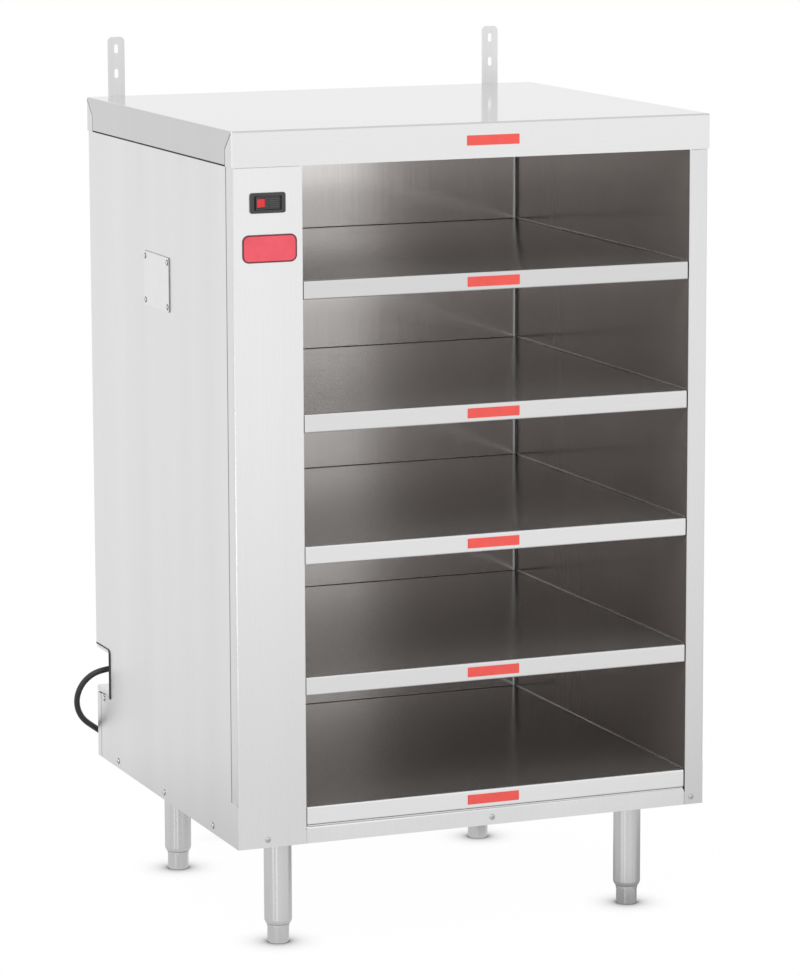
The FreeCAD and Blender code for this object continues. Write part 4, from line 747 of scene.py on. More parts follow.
CORD_DIAMETER = 8.6 * MM
CORD_EXIT = (-312.5, 288.0, 282.0)
CORD_ROUTE = [
    CORD_EXIT,
    (-342.5, 288.0, 282.0),
    (-366.6, 296.0, 264.4),
    (-375.9, 303.5, 236.0),
    (-366.6, 311.0, 207.6),
    (-342.5, 317.0, 188.5),
    (-306.0, 321.0, 164.0),
    (-264.0, 324.0, 126.0),
    (-205.0, 327.0, 80.0),
    (-140.0, 331.0, 38.0),
    (-70.0, 335.0, 12.5),
    (-8.0, 335.6, 5.4),
    (48.4, 334.0, 5.6),
    (96.4, 334.0, 5.6),
]
CORD_TAIL = [(113.6, 334.0, 15.0), (147.6, 334.0, 15.0)]
COIL_CENTRE = (105.0, 392.0)
COIL_RADIUS = 58.0
COIL_STEP = 2.35
COIL_LOW = 5.6
COIL_HIGH = 15.0
COIL_QUARTERS = 16
COIL_POINTS = 24


def coil_points():
    """The coil's turns: closing in on the lower layer, climbing, and opening out on the upper one."""
    points = []
    count = COIL_POINTS * COIL_QUARTERS // 4
    middle = COIL_QUARTERS / 2
    outward = 2 / (1 + math.cos(math.tau / COIL_POINTS / 2))
    for i in range(count + 1):
        quarter = COIL_QUARTERS * i / count
        angle = -math.pi / 2 + quarter * math.pi / 2
        radius = (COIL_RADIUS - COIL_STEP * (middle - abs(middle - quarter))) * outward
        climb = min(1.0, max(0.0, (quarter - middle + 1) / 2))
        points.append((
            COIL_CENTRE[0] + radius * math.cos(angle),
            COIL_CENTRE[1] + radius * math.sin(angle),
            COIL_LOW + (COIL_HIGH - COIL_LOW) * climb,
        ))
    return points


def make_cord():
    points = [Vector(place) * MM for place in CORD_ROUTE + coil_points() + CORD_TAIL]
    cord, spline = tube("power_cord_flex", "NURBS", points, CORD_DIAMETER / 2, 5)
    spline.order_u = 3
    spline.use_endpoint_u = True
    cord.data.resolution_u = 10
    cord.data.materials.append(cord_finish)
    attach(cord, "cabinet")
    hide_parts("power_cord", "cord_coil", "cord_tail")
    return cord


# Sheets of the cabinet: copies of the frame's sheets with their bend radii

OUTER_SHEETS = ["side_panel_left", "side_panel_right", "rear_panel", "base_pan"]
LINER_SHEETS = ["inner_wall_left", "inner_wall_right"]
RETURN_FOOT = 212.8 * MM
COLUMN_FOLD = 3.0 * MM
FOLD_TURN = 0.15
LIP_DEPTH = 3 * MM
STRAP_EDGE = 0.5 * MM
COVER_EDGE = 0.25 * MM


def split_at(piece, height):
    """Divides a sheet's faces at a height, where a folded part ends."""
    open_whole(piece)
    bpy.ops.mesh.bisect(plane_co=(0, 0, height), plane_no=(0, 0, 1))
    close_mesh()


def folded_sheet(node_name, materials, radius=FOLD_RADIUS, split=None):
    piece = merged_copy(node_name, f"{node_name}_sheet")
    if split:
        split_at(piece, split)
    if radius:
        round_folds(piece, radius)
    unwrap_flat(piece)
    settle(piece, materials, [node_name])
    return piece


def make_sheets():
    # Painted shade: the faces of the column and stile that look sideways take the darker return steel.
    for name, finish, way in (("control_column", front_finish, -1), ("right_stile", shaded_stile_finish, 1)):
        sheet = folded_sheet(name, [finish, shaded_return_finish], COLUMN_FOLD, RETURN_FOOT)
        paint_faces(sheet, 1, lambda face: face.normal.x * way > FOLD_TURN)
    folded_sheet("front_apron", [apron_finish])
    for name in OUTER_SHEETS:
        folded_sheet(name, [side_finish])
    # The side walls and ceiling take the dark liner steel, the rear wall the light one: painted shade and
    # light.
    for name in LINER_SHEETS:
        folded_sheet(name, [shaded_liner_finish])
    folded_sheet("inner_ceiling", [shaded_liner_finish], 0)
    folded_sheet("inner_wall_rear", [lit_rear_liner_finish])
    for number in range(1, SHELF_COUNT + 1):
        name = f"shelf_{number}_pan"
        low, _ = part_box(name)
        pan = folded_sheet(name, [shaded_shelf_finish, painted_lip_finishes[number - 1]])
        # Each lip takes its shelf's own tone: painted light and shade.
        paint_faces(pan, 1, lambda face: face.center.y < low.y + LIP_DEPTH)
    folded_sheet("shelf_closures", [shaded_shelf_finish])
    folded_sheet("cord_pocket", [pocket_finish])


def plate(node_name, materials, width):
    """A flat plate with its edges broken."""
    piece = merged_copy(node_name, f"{node_name}_plate")
    soften(piece, width, 2, 50)
    unwrap_flat(piece)
    settle(piece, materials, [node_name])
    return piece


def make_plates():
    for name in ("wall_bracket_left", "wall_bracket_right"):
        plate(name, [strap_finish], STRAP_EDGE)
    cover = plate("access_cover", [access_finish, sealant_and_shade_finish], COVER_EDGE)
    # The access cover's edge faces take the dark sealant colour: painted shade.
    paint_faces(cover, 1, lambda face: abs(face.normal.x) < 0.5)


# Edge trim of the cord notch

TRIM_RADIUS = 1.7 * MM
TRIM_PROUD = 0.4 * MM
TRIM_EDGE = 0.4 * MM
TRIM_THIN = 0.55
TRIM_CORNER = 7 * MM
CORNER_STEPS = 8
PANEL_LEFT = -343 * MM
NOTCH_FRONT = 240 * MM
NOTCH_BOTTOM = 247 * MM
NOTCH_TOP = 319 * MM
NOTCH_REAR = 300 * MM


def make_notch_trim():
    """Rubber edging: a strip behind the notch with a round bead along its front and top edges."""
    strip = merged_copy("notch_edge_trim", "notch_edge_trim_moulded")
    soften(strip, TRIM_EDGE, 2, 50)
    route = [(NOTCH_FRONT, NOTCH_BOTTOM, 1.0), (NOTCH_FRONT, NOTCH_TOP - TRIM_CORNER, 1.0)]
    for i in range(1, CORNER_STEPS + 1):
        angle = math.pi / 2 * i / CORNER_STEPS
        route.append((
            NOTCH_FRONT + TRIM_CORNER * (1 - math.cos(angle)),
            NOTCH_TOP - TRIM_CORNER * (1 - math.sin(angle)),
            1.0 - (1.0 - TRIM_THIN) * i / CORNER_STEPS,
        ))
    route.append((NOTCH_REAR, NOTCH_TOP, TRIM_THIN))
    points = [(PANEL_LEFT - TRIM_PROUD, y, z) for y, z, _ in route]
    bead, spline = tube("trim_bead", "POLY", points, TRIM_RADIUS, 4)
    for point, (_, _, size) in zip(spline.points, route):
        point.radius = size
    take(bead)
    bpy.ops.object.convert(target="MESH")
    trim = join([strip, bpy.context.object], "notch_edge_trim_moulded")
    settle(trim, [rubber_finish], ["notch_edge_trim"])


# Top cover

TAB_WIDTH = 25 * MM
TAB_SLANT = 24 * MM
SLIT_WIDTH = 1.5 * MM
SLIT_DEPTH = 2.0 * MM
SLIT_STOP = 3.0 * MM
BACKING_GAUGE = 0.3 * MM
BACKING_LAP = 1.2 * MM
BACKING_GAP = 0.05 * MM
BACKING_LIFT = 0.3 * MM
BACKING_EDGE = 0.3 * MM
SKIRT_SHORT = 2.4 * MM
SHADE_STRIP_PROUD = 0.5 * MM
SHADE_STRIP_LAP = 2 * MM
SHADE_STRIP_EDGE = 0.15 * MM


def make_top_cover():
    """A sheet folded down on four sides, with tabs from front and rear round its corners."""
    low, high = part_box("top_cover")
    cover = block("top_cover_sheet", low, high)
    pick(cover, "FACE", lambda face: face.normal.z < -0.5)
    bpy.ops.mesh.delete(type="FACE")
    close_mesh()
    bevel_edges(cover, lambda edge: not all_near(edge, 2, low.z), FOLD_RADIUS, 4)
    apply_modifier(cover, "SOLIDIFY", thickness=SHEET_GAUGE, offset=-1.0, use_even_offset=True)
    fold_z = high.z - SHEET_GAUGE - TAB_SLANT
    reach = math.hypot(TAB_WIDTH, TAB_SLANT)
    slope = math.atan2(TAB_SLANT, TAB_WIDTH)
    half = SLIT_WIDTH / 2
    wide = half + BACKING_LAP
    backings = []
    for side_x, inward in ((low.x, 1), (high.x, -1)):
        x0 = side_x - SLIT_DEPTH
        x1 = side_x + SLIT_DEPTH
        inner_x = side_x + (SHEET_GAUGE + BACKING_GAP) * inward
        back_x = inner_x + BACKING_GAUGE * inward
        for end_y, way in ((low.y, 1), (high.y, -1)):
            corner_y = end_y + TAB_WIDTH * way
            upright = block("slit", (x0, corner_y - half, low.z - MM), (x1, corner_y + half, fold_z))
            cut_away(cover, upright)
            backings.append(block("backing", (inner_x, corner_y - wide, low.z + BACKING_LIFT),
                                  (back_x, corner_y + wide, fold_z)))
            start_y = reach / 2 * way
            slant = block("slit", (x0, start_y, -half), (x1, (SLIT_STOP - reach / 2) * way, half))
            behind = block("backing", (inner_x, start_y, -wide),
                           (back_x, (2 * FOLD_RADIUS - reach / 2) * way, wide))
            for strip in (slant, behind):
                strip.rotation_euler = (-slope * way, 0.0, 0.0)
                strip.location = (0.0, end_y + TAB_WIDTH / 2 * way, fold_z + TAB_SLANT / 2)
                settle_place(strip)
            cut_away(cover, slant)
            backings.append(behind)
        trim = block("skirt_trim", (x0, low.y + TAB_WIDTH, low.z - MM),
                     (x1, high.y - TAB_WIDTH, low.z + SKIRT_SHORT))
        cut_away(cover, trim)
    unwrap_flat(cover)
    settle(cover, [cover_finish, header_finish, shaded_tab_finish, shaded_skirt_finish], ["top_cover"])
    # Painted light and shade: the one sheet takes lit and shaded copies of its steel by which way its faces
    # look: the top, the header at front and rear, lighter tabs and darker skirts at the sides.
    paint_faces(cover, 1, lambda face: face.center.z < high.z - FOLD_RADIUS)
    paint_faces(cover, 2, lambda face: abs(face.normal.x) > 0.95)
    skirt_reach = high.y - 2 * TAB_WIDTH
    paint_faces(cover, 3, lambda face: abs(face.normal.x) > 0.7 and abs(face.center.y) < skirt_reach)
    # Black backings behind the tab slits: painted shade.
    for strip in backings:
        bevel_along(strip, 0, BACKING_EDGE, 2)
    settle(join(backings, "tab_slit_shade_backings"), [shade_gap_finish], [])
    make_skirt_shade_strips(low, high)


def make_skirt_shade_strips(low, high):
    """A black strip in the gap under each side skirt: painted shade for the shadow in the gap."""
    panel_low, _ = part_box("side_panel_left")
    strips = []
    for way in (-1, 1):
        face_x = abs(panel_low.x) * way
        strips.append(bar(
            "shade_strip", (face_x, low.y + TAB_WIDTH, low.z - CLEARANCE),
            (face_x + SHADE_STRIP_PROUD * way, high.y - TAB_WIDTH, low.z + SKIRT_SHORT + SHADE_STRIP_LAP),
            1, SHADE_STRIP_EDGE))
    settle(join(strips, "skirt_shade_strips"), [shade_gap_finish], [])


# Sealant seams, corner folds and the filler over the apron

SEAM_WIDTH = 2.4 * MM
SEAM_PROUD = 0.15 * MM
SEAM_SEAT = 0.4 * MM
SEAM_START = 60 * MM
SEAM_GAP = 0.3 * MM
SEAM_EDGE = 0.1 * MM
REAR_SEAM_LOW = 154 * MM
BEAD_HEIGHT = 1.0 * MM
BEAD_PROUD = 0.35 * MM
BEAD_SEAT = 0.2 * MM
BEAD_LAP = 2 * MM
REAR_FOLD = 284 * MM
FILLER_PROUD = 0.05 * MM
FILLER_HEIGHT = 1.1 * MM
FILLER_SETBACK = 1.4 * MM
FILLER_DEPTH = 8 * MM
FILLER_EDGE = 0.3 * MM
CORNER_RADIUS = 5.0 * MM
SHELF_BEND = 1.7 * MM
BEND_GAUGE = 0.1 * MM
REAR_BEND = 1.0 * MM
SHELF_BEND_START = 6 * MM


def make_seams():
    """Dark sealant in the upright seams, fillers at the returns' feet, and a pale grey strip under the
    header that paints the shade line below it.
    """
    cover_low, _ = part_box("top_cover")
    strips = []
    fillers = []
    for name, way in (("control_column", -1), ("right_stile", 1)):
        low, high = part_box(name)
        face_x = low.x if way < 0 else high.x
        inner_x = face_x - SEAM_SEAT * way
        middle_y = high.y + SEAM_SEAT
        strips.append(bar(
            "seam", (inner_x, middle_y - SEAM_WIDTH / 2, low.z + SEAM_START),
            (face_x + SEAM_PROUD * way, middle_y + SEAM_WIDTH / 2, cover_low.z - SEAM_GAP), 2, SEAM_EDGE))
        fillers.append(bar(
            "filler", (inner_x, low.y + COLUMN_FOLD, RETURN_FOOT - FILLER_HEIGHT),
            (face_x + FILLER_PROUD * way, high.y, RETURN_FOOT + SEAM_GAP), 1, FILLER_PROUD))
    foot_fillers = join(fillers, "return_foot_fillers")
    unwrap_flat(foot_fillers)
    # The fillers take the returns' darker steel: painted shade.
    settle(foot_fillers, [shaded_return_finish], [])
    strips.append(bar(
        "seam", (PANEL_LEFT - SEAM_PROUD, REAR_FOLD - SEAM_SEAT, REAR_SEAM_LOW),
        (PANEL_LEFT + SEAM_SEAT, REAR_FOLD + SEAM_SEAT, NOTCH_BOTTOM), 2, SEAM_EDGE))
    settle(join(strips, "column_seams"), [sealant_and_shade_finish], [])
    # Painted shade: the grey strip under the header.
    beads = []
    for name in ("control_column", "right_stile"):
        low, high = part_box(name)
        beads.append(bar(
            "bead", (low.x + COLUMN_FOLD, low.y - BEAD_PROUD, cover_low.z - BEAD_HEIGHT),
            (high.x - COLUMN_FOLD, low.y + BEAD_SEAT, cover_low.z + BEAD_LAP), 0, BEAD_SEAT))
    settle(join(beads, "header_shade_line"), [header_shade_finish], [])


def hollow_bend(corner, far_corner, middle, way, radius):
    """A bend that fills an inside corner: a bar with a round channel along it."""
    bend = block("bend", corner, far_corner)
    length = (Vector(far_corner) - Vector(corner)).dot(Vector(way)) + 2 * MM
    channel = radius - BEND_GAUGE
    profile = [(0.0, -MM), (channel, -MM), (channel, length), (0.0, length)]
    cut_away(bend, turned("roller", profile, middle, way, 48))
    return bend


def make_corner_folds():
    """Hollow bends where the walls meet each other and the shelves, for each compartment, in a light steel
    that paints a highlight line along each bend.
    """
    _, left_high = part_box("inner_wall_left")
    right_low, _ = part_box("inner_wall_right")
    rear_low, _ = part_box("inner_wall_rear")
    ceiling_low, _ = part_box("inner_ceiling")
    big = CORNER_RADIUS
    small = SHELF_BEND
    rear_y = rear_low.y
    bends = []
    for number in range(1, SHELF_COUNT + 1):
        pan_low, pan_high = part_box(f"shelf_{number}_pan")
        floor = pan_high.z
        roof = ceiling_low.z
        if number < SHELF_COUNT:
            above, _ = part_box(f"shelf_{number + 1}_pan")
            roof = above.z
        for wall_x, way in ((right_low.x, -1), (left_high.x, 1)):
            bend_x = wall_x + big * way
            bends.append(hollow_bend(
                (wall_x, rear_y - big, floor + CLEARANCE), (bend_x, rear_y, roof - CLEARANCE),
                (bend_x, rear_y - big, floor), (0, 0, 1), big))
            bend_x = wall_x + small * way
            front_y = pan_low.y + SHELF_BEND_START
            bends.append(hollow_bend(
                (wall_x, front_y, floor), (bend_x, rear_y - big, floor + small),
                (bend_x, front_y, floor + small), (0, 1, 0), small))
        start_x = left_high.x + big
        bends.append(hollow_bend(
            (start_x, rear_y - REAR_BEND, floor), (right_low.x - big, rear_y, floor + REAR_BEND),
            (start_x, rear_y - REAR_BEND, floor + REAR_BEND), (1, 0, 0), REAR_BEND))
    folds = join(bends, "liner_corner_folds")
    unwrap_flat(folds)
    # The light lip steel on the dark liner's bends is a painted highlight.
    settle(folds, [lip_finish], [])


def make_apron_filler():
    """A filler strip set back in the gap between the bottom shelf's lip and the apron."""
    low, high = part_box("front_apron")
    shelf_low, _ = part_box("shelf_1_pan")
    strip = bar("apron_filler", (low.x + MM, low.y + FILLER_SETBACK, high.z),
                (high.x - MM, low.y + FILLER_DEPTH, shelf_low.z - CLEARANCE), 0, FILLER_EDGE)
    settle(strip, [lip_finish], [])


# Legs, feet and screws

# A leg's outline from the stud's top down its outside and up its bore: radius and height in millimetres
LEG_OUTLINE = [
    (0.0, 171.0), (5.2, 171.0), (6.0, 170.2), (6.0, 152.0), (18.4, 152.0), (19.0, 151.4), (19.0, 100.0),
    (19.0, 33.0), (18.9, 31.6), (18.6, 30.3), (18.1, 29.1), (17.5, 28.0), (16.9, 27.0), (16.5, 26.3),
    (16.1, 26.0), (15.6, 26.0), (15.6, 70.0), (8.3, 70.0), (8.3, 146.0), (0.0, 146.0),
]
# Below this height the leg's faces round its mouth take the dark sealant colour: painted shade.
LEG_SHADE_RIM = 26.9 * MM
FOOT_EDGE = 0.5 * MM
LEG_NAMES = ["front_left", "front_right", "rear_left", "rear_right"]


def make_legs():
    for name in LEG_NAMES:
        low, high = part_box(f"leg_{name}")
        base = ((low.x + high.x) / 2, (low.y + high.y) / 2, 0.0)
        leg = turned(f"leg_{name}_tube", in_metres(LEG_OUTLINE), base, (0, 0, 1), 72)
        unwrap_flat(leg)
        settle(leg, [leg_finish, sealant_and_shade_finish], [f"leg_{name}"])
        # Painted shade round the leg's mouth.
        paint_faces(leg, 1, lambda face: face.center.z < LEG_SHADE_RIM)
        foot = merged_copy(f"foot_{name}", f"foot_{name}_turned")
        soften(foot, FOOT_EDGE, 2, 25)
        unwrap_flat(foot)
        settle(foot, [foot_finish], [f"foot_{name}"], f"levelling_foot_{name}")


# Screw steel, black rubber for the ring that paints the shade under each head, and the darker front screw
# steel.
SCREW_FINISHES = [screw_finish, rubber_finish, shaded_front_screw_finish]
SCREW_FRONT = -300 * MM
SCREW_SPIN = 0.7
# Head radius, head height, length and width of the black ring under the head, which paints the shade round
# it, in millimetres
SCREW_KINDS = {
    "panel_screws": (3.5, 2.0, 8.0, 0.8),
    "bracket_screws": (3.5, 2.0, 8.0, 0.6),
    "access_cover_screws": (3.0, 1.6, 7.0, 1.1),
}
SHADE_RING_GAUGE = 0.3 * MM
POINT_LENGTH = 0.6 * MM
DOME_STEPS = 6
# Shares of the head's radius and height
DOME_FOOT = 0.35
SHANK_SHARE = 0.55
POINT_SHARE = 0.33
RECESS_REACH = 0.55
RECESS_HALF = 0.12
RECESS_FLOOR = 0.45


def screw_head(radius, height, length, shade_ring):
    """A domed screw on the Z axis, head up, with a cross recess and a plain shank."""
    dome = []
    for i in range(DOME_STEPS + 1):
        angle = math.pi / 2 * i / DOME_STEPS
        dome.append((radius * math.sin(angle), height * (DOME_FOOT + (1 - DOME_FOOT) * math.cos(angle))))
    shank = radius * SHANK_SHARE
    rim = radius + shade_ring
    profile = dome + [
        (radius, SHADE_RING_GAUGE), (rim, SHADE_RING_GAUGE), (rim, 0.0), (shank, 0.0),
        (shank, -length + POINT_LENGTH), (radius * POINT_SHARE, -length), (0.0, -length)]
    screw = turned("screw", profile, (0, 0, 0), (0, 0, 1), 28)
    wide = radius * RECESS_REACH
    thin = radius * RECESS_HALF
    for half_x, half_y in ((wide, thin), (thin, wide)):
        arm = block("recess", (-half_x, -half_y, height * RECESS_FLOOR), (half_x, half_y, height * 2))
        cut_away(screw, arm)
    dress(screw, SCREW_FINISHES)
    # The black ring under the head is painted shade.
    paint_faces(screw, 1, lambda face: 0 <= face.center.z < SHADE_RING_GAUGE * 1.01
                and face.center.xy.length > radius)
    return screw


def facing(place, way, spin=0.0):
    """A placing whose Z axis points along a direction."""
    turn = Vector(way).to_track_quat("Z", "Y").to_matrix().to_4x4()
    return Matrix.Translation(place) @ turn @ Matrix.Rotation(spin, 4, "Z")


def screw_places(node_name):
    """The head seats of a node's screws with their outward directions, read from its solids."""
    mesh = bmesh.new()
    mesh.from_mesh(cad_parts[node_name].data)
    bmesh.ops.remove_doubles(mesh, verts=mesh.verts, dist=MERGE_REACH)
    seen = set()
    places = []
    for start in mesh.verts:
        if start in seen:
            continue
        island = [start]
        seen.add(start)
        for vertex in island:
            for edge in vertex.link_edges:
                other = edge.other_vert(vertex)
                if other not in seen:
                    seen.add(other)
                    island.append(other)
        columns = list(zip(*(vertex.co for vertex in island)))
        low = Vector([min(column) for column in columns])
        high = Vector([max(column) for column in columns])
        size = high - low
        axis = max(range(3), key=lambda i: size[i])
        middle = (low + high) / 2
        wide = max(island, key=lambda v: (v.co - middle).length_squared
                   - (v.co[axis] - middle[axis]) ** 2)
        seat = middle.copy()
        seat[axis] = wide.co[axis]
        way = Vector((0, 0, 0))
        way[axis] = 1 if wide.co[axis] > middle[axis] else -1
        places.append((seat, way))
    mesh.free()
    return places


def make_screws():
    for name, sizes in SCREW_KINDS.items():
        master = screw_head(*(size * MM for size in sizes))
        placings = [facing(seat, way, SCREW_SPIN * i) for i, (seat, way) in enumerate(screw_places(name))]
        screws = copies(master, f"{name}_domed", placings)
        settle(screws, SCREW_FINISHES, [name])
        # The heads that face the front take the darker steel: painted shade.
        paint_faces(screws, 2, lambda face: face.center.y < SCREW_FRONT)


# Rocker switch

COLUMN_FRONT = -302 * MM
ROCKER_PIN = -299 * MM
BEZEL_CORNER = 3.2 * MM
SWITCH_EDGE = 1.0 * MM
BARREL_HALF = (22 * MM, 11 * MM)
WELL_HALF = (19 * MM, 9.3 * MM)
WELL_DEPTH = 15 * MM
ROCKER_EDGE = 0.5 * MM
RIB_COUNT = 5
RIB_PITCH = 2.7 * MM
RIB_HALF = 0.6 * MM
RIB_EDGE = 0.35 * MM
# Two corners of a rib, measured from the rocker's pin to the right and to the rear
RIB_START = (3.2 * MM, -3.1 * MM)
RIB_END = (16.2 * MM, -2.2 * MM)
LENS_HEIGHT = 0.8
LENS_EDGE = 0.45 * MM


def make_switch():
    low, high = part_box("switch_housing")
    middle = (low + high) / 2
    bezel = bar("switch_housing_moulded", low, (high.x, COLUMN_FRONT, high.z), 1, BEZEL_CORNER, 6)
    bevel_edges(bezel, lambda edge: all_near(edge, 1, low.y), SWITCH_EDGE, 3)
    half_x, half_z = BARREL_HALF
    barrel = bar("barrel", (middle.x - half_x, COLUMN_FRONT - CLEARANCE, middle.z - half_z),
                 (middle.x + half_x, high.y, middle.z + half_z), 1, SWITCH_EDGE)
    housing = join([bezel, barrel], "switch_housing_moulded")
    half_x, half_z = WELL_HALF
    well = bar("well", (middle.x - half_x, low.y - MM, middle.z - half_z),
               (middle.x + half_x, low.y + WELL_DEPTH, middle.z + half_z), 1, SWITCH_EDGE, 3)
    cut_away(housing, well)
    settle(housing, [switch_finish], ["switch_housing"])

    rocker = merged_copy("switch_rocker", "switch_rocker_moulded")
    soften(rocker, ROCKER_EDGE, 2, 40)
    pin = Vector((middle.x, ROCKER_PIN, middle.z))
    start_x, top_y = RIB_START
    end_x, foot_y = RIB_END
    ribs = []
    for i in range(RIB_COUNT):
        z = (i - RIB_COUNT // 2) * RIB_PITCH
        rib = block("rib", (start_x, top_y, z - RIB_HALF), (end_x, foot_y, z + RIB_HALF))
        bevel_edges(rib, lambda edge: all_near(edge, 1, top_y), RIB_EDGE, 3)
        rib.location = pin
        settle_place(rib)
        ribs.append(rib)
    rocker = join([rocker] + ribs, "switch_rocker_moulded")
    settle(rocker, [switch_finish, rib_highlight_finish], ["switch_rocker"], "rocker")
    # The rib tops take the lighter plastic: a painted highlight.
    paint_faces(rocker, 1, lambda face: face.center.x > pin.x + start_x + CLEARANCE / 2
                and face.center.y < pin.y + top_y + CLEARANCE and face.normal.y < -SQUARE_ON)

    lens = merged_copy("switch_lens", "switch_lens_moulded")
    open_whole(lens)
    bpy.ops.transform.resize(value=(1.0, 1.0, LENS_HEIGHT), center_override=pin)
    close_mesh()
    soften(lens, LENS_EDGE, 3, 40)
    settle(lens, [lens_finish], ["switch_lens"], "rocker")


# Badge and marker strips, both blank

BADGE_CORNER = 9 * MM
BADGE_RIM = 1.7 * MM
BADGE_STEP = 0.35 * MM
BADGE_EDGE = 0.25 * MM


def make_badge():
    low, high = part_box("badge_plate")
    badge = bar("badge_plate_enamelled", low, high, 1, BADGE_CORNER, 10)
    pick(badge, "FACE", lambda face: face.normal.y < -SQUARE_ON)
    bpy.ops.mesh.inset(thickness=BADGE_RIM, depth=0.0)
    bpy.ops.mesh.inset(thickness=BADGE_STEP, depth=-BADGE_STEP)
    close_mesh()
    bevel_edges(badge, lambda edge: all_near(edge, 1, low.y)
                and edge.calc_face_angle(0.0) > FOLD_ANGLE, BADGE_EDGE, 2)
    settle(badge, [badge_rim_finish, badge_finish], ["badge_plate"])
    paint_faces(badge, 1, lambda face: face.normal.y < -SQUARE_ON and face.center.y > low.y + CLEARANCE)


MARKER_SIZE = (76 * MM, 0.3 * MM, 13.5 * MM)
MARKER_CORNER = 0.9 * MM
MARKER_EDGE = 0.1 * MM
MARKER_X = 27 * MM
HEADER_MARKER = (25 * MM, -303.8 * MM, 1088 * MM)


def make_markers():
    width, depth, height = MARKER_SIZE
    strip = bar("marker", (-width / 2, -depth, -height / 2), (width / 2, 0.0, height / 2),
                1, MARKER_CORNER, 4)
    bevel_edges(strip, lambda edge: all_near(edge, 1, -depth), MARKER_EDGE, 2)
    placings = [Matrix.Translation(HEADER_MARKER)]
    for number in range(1, SHELF_COUNT + 1):
        low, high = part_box(f"shelf_{number}_pan")
        placings.append(Matrix.Translation((MARKER_X, low.y, (low.z + high.z) / 2)))
    markers = copies(strip, "marker_strips_vinyl", placings)
    settle(markers, [marker_finish], ["marker_strips"])


# Cord fittings, with outlines as radius and place along the cord in millimetres

RELIEF_SEAT = -298 * MM
RELIEF_FLANGE = [(0.0, -9.0), (6.4, -9.0), (7.0, -8.2), (7.0, 0.0), (9.0, 0.0), (9.5, 0.5), (9.5, 2.5),
                 (9.0, 3.0), (7.6, 3.0)]
# Radius and place of the first ring, and the steps to the next
RELIEF_FIRST = (7.6, 3.6)
RELIEF_PITCH = (-0.45, 2.6)
RELIEF_RING = [(0.0, 0.0), (-0.15, 1.5), (-1.0, 1.7), (-1.05, 2.3)]
RELIEF_END = [(5.5, 14.0), (5.2, 14.5), (0.0, 14.5)]
RING_COUNT = 4
PLUG_BODY = 30 * MM
PLUG_NECK = 4 * MM
NECK_SHARE = 0.66
PLUG_CORNER = 5 * MM
PLUG_EDGE = 1.2 * MM
PRONG_EDGE = 0.5 * MM
GRIP_COUNT = 4
GRIP_START = 7 * MM
GRIP_PITCH = 4 * MM
GRIP_HALF = 0.9 * MM
GRIP_REACH = 8 * MM
GRIP_DEPTH = 1.5 * MM
GRIP_EDGE = 0.5 * MM
SLEEVE_START = [(0.0, 0.0), (5.3, 0.0), (5.5, 0.4)]
SLEEVE_FIRST = (5.6, 1.0)
SLEEVE_PITCH = (0.35, 3.2)
SLEEVE_RING = [(0.0, 0.0), (0.0, 2.0), (-0.9, 2.2), (-0.9, 3.0)]
SLEEVE_END = [(7.0, 14.2), (7.0, 20.0), (0.0, 20.0)]
TIE_GAUGE = 1.0 * MM
TIE_CORNER = 4.0 * MM
TAIL_BACK = 9 * MM
TAIL_AHEAD = 7 * MM
TAIL_INSET = 0.6 * MM
TAIL_CORNER = 3 * MM
TAIL_EDGE = 0.35 * MM


def ringed(first, pitch, outline):
    """Rings in a row: radius and place of the first, the steps to the next, and the outline of one."""
    points = []
    for i in range(RING_COUNT):
        outer = first[0] + pitch[0] * i
        start = first[1] + pitch[1] * i
        points += [(outer + wider, start + further) for wider, further in outline]
    return points


def make_strain_relief():
    """A flanged bush with rings that get smaller along the cord."""
    low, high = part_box("strain_relief")
    seat = (RELIEF_SEAT, (low.y + high.y) / 2, (low.z + high.z) / 2)
    profile = RELIEF_FLANGE + ringed(RELIEF_FIRST, RELIEF_PITCH, RELIEF_RING) + RELIEF_END
    bush = turned("strain_relief_ribbed", in_metres(profile), seat, (-1, 0, 0), 40)
    settle(bush, [relief_finish], ["strain_relief"])


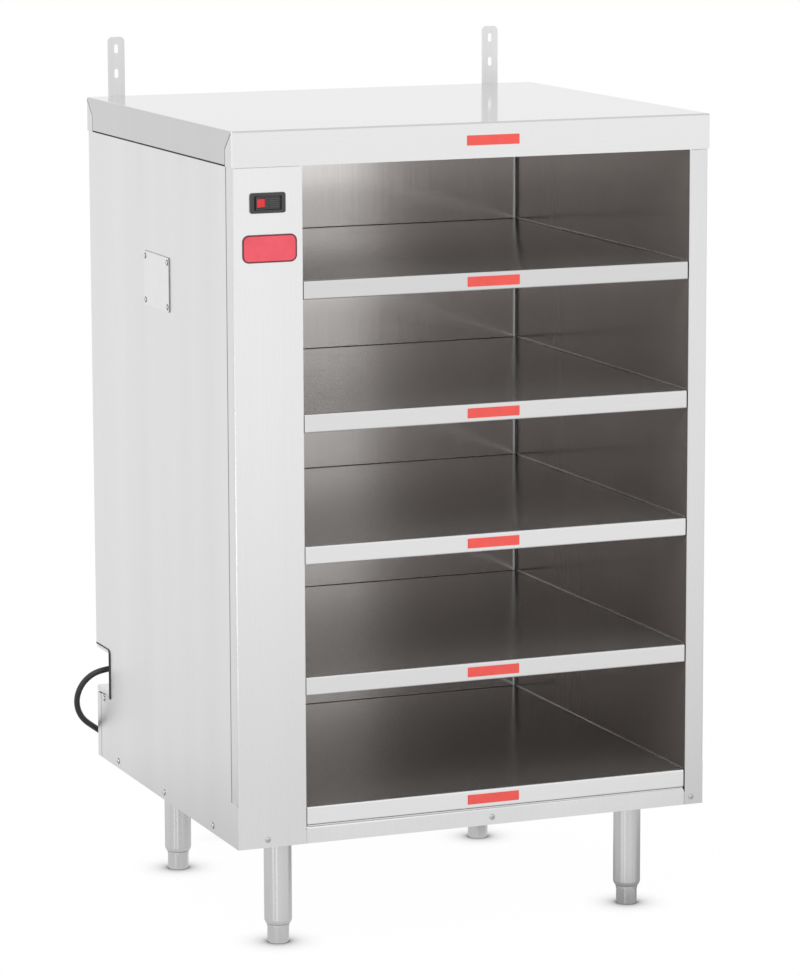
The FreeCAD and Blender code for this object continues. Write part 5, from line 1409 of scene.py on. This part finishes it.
def make_plug():
    """A moulded plug with grips at its sides, a ringed sleeve for the cord, and its prongs."""
    low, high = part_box("power_plug")
    y = (low.y + high.y) / 2
    z = (low.z + high.z) / 2
    body_x = high.x - PLUG_BODY
    shell = block("shell", (body_x, low.y, low.z), high)
    pick(shell, "FACE", lambda face: face.normal.x < -SQUARE_ON)
    bpy.ops.mesh.extrude_region_move(TRANSFORM_OT_translate={"value": (-PLUG_NECK, 0, 0)})
    bpy.ops.transform.resize(value=(1.0, NECK_SHARE, NECK_SHARE), center_override=(body_x - PLUG_NECK, y, z))
    close_mesh()
    bevel_along(shell, 0, PLUG_CORNER, 6)
    soften(shell, PLUG_EDGE, 3, 30)
    grips = []
    for side in (-1, 1):
        face_y = y + side * (high.y - low.y) / 2
        inner_y = face_y - side * GRIP_DEPTH
        for i in range(GRIP_COUNT):
            x = body_x + GRIP_START + GRIP_PITCH * i
            grips.append(bar("grip", (x - GRIP_HALF, inner_y, z - GRIP_REACH),
                             (x + GRIP_HALF, face_y, z + GRIP_REACH), 2, GRIP_EDGE, 3))
    rings = SLEEVE_START + ringed(SLEEVE_FIRST, SLEEVE_PITCH, SLEEVE_RING) + SLEEVE_END
    sleeve = turned("sleeve", in_metres(rings), (low.x, y, z), (1, 0, 0), 40)
    plug = join([shell, sleeve] + grips, "power_plug_moulded")
    settle(plug, [plug_finish], ["power_plug"])

    prongs = merged_copy("plug_prongs", "plug_prongs_bright")
    soften(prongs, PRONG_EDGE, 3, 40)
    settle(prongs, [prong_finish], ["plug_prongs"])
    return plug, prongs


def make_tie():
    """A fabric tie round the coil, with its loose end on top."""
    tie = merged_copy("cord_tie", "cord_tie_strap")
    low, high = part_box("cord_tie")
    bevel_edges(tie, lambda edge: along(edge, 1) and edge.calc_face_angle_signed(0.0) > 1.0, TIE_CORNER, 6)
    bevel_edges(tie, lambda edge: along(edge, 1) and edge.calc_face_angle_signed(0.0) < -1.0,
                TIE_CORNER - TIE_GAUGE, 6)
    middle = (low + high) / 2
    tail_top = high.z + TIE_GAUGE
    tail = bar("tail", (middle.x - TAIL_BACK, low.y + TAIL_INSET, high.z - CLEARANCE / 2),
               (middle.x + TAIL_AHEAD, high.y - TAIL_INSET, tail_top), 2, TAIL_CORNER, 6)
    bevel_edges(tail, lambda edge: all_near(edge, 2, tail_top), TAIL_EDGE, 3)
    tie = join([tie, tail], "cord_tie_strap")
    settle(tie, [tie_finish], ["cord_tie"])
    return tie


make_camera()
cord = make_cord()
make_world()
make_floor()
make_lamps()
dress_nodes()
make_sheets()
make_plates()
make_notch_trim()
make_top_cover()
make_seams()
make_corner_folds()
make_apron_filler()
make_legs()
make_screws()
make_switch()
make_badge()
make_markers()
make_strain_relief()
plug, prongs = make_plug()
tie = make_tie()
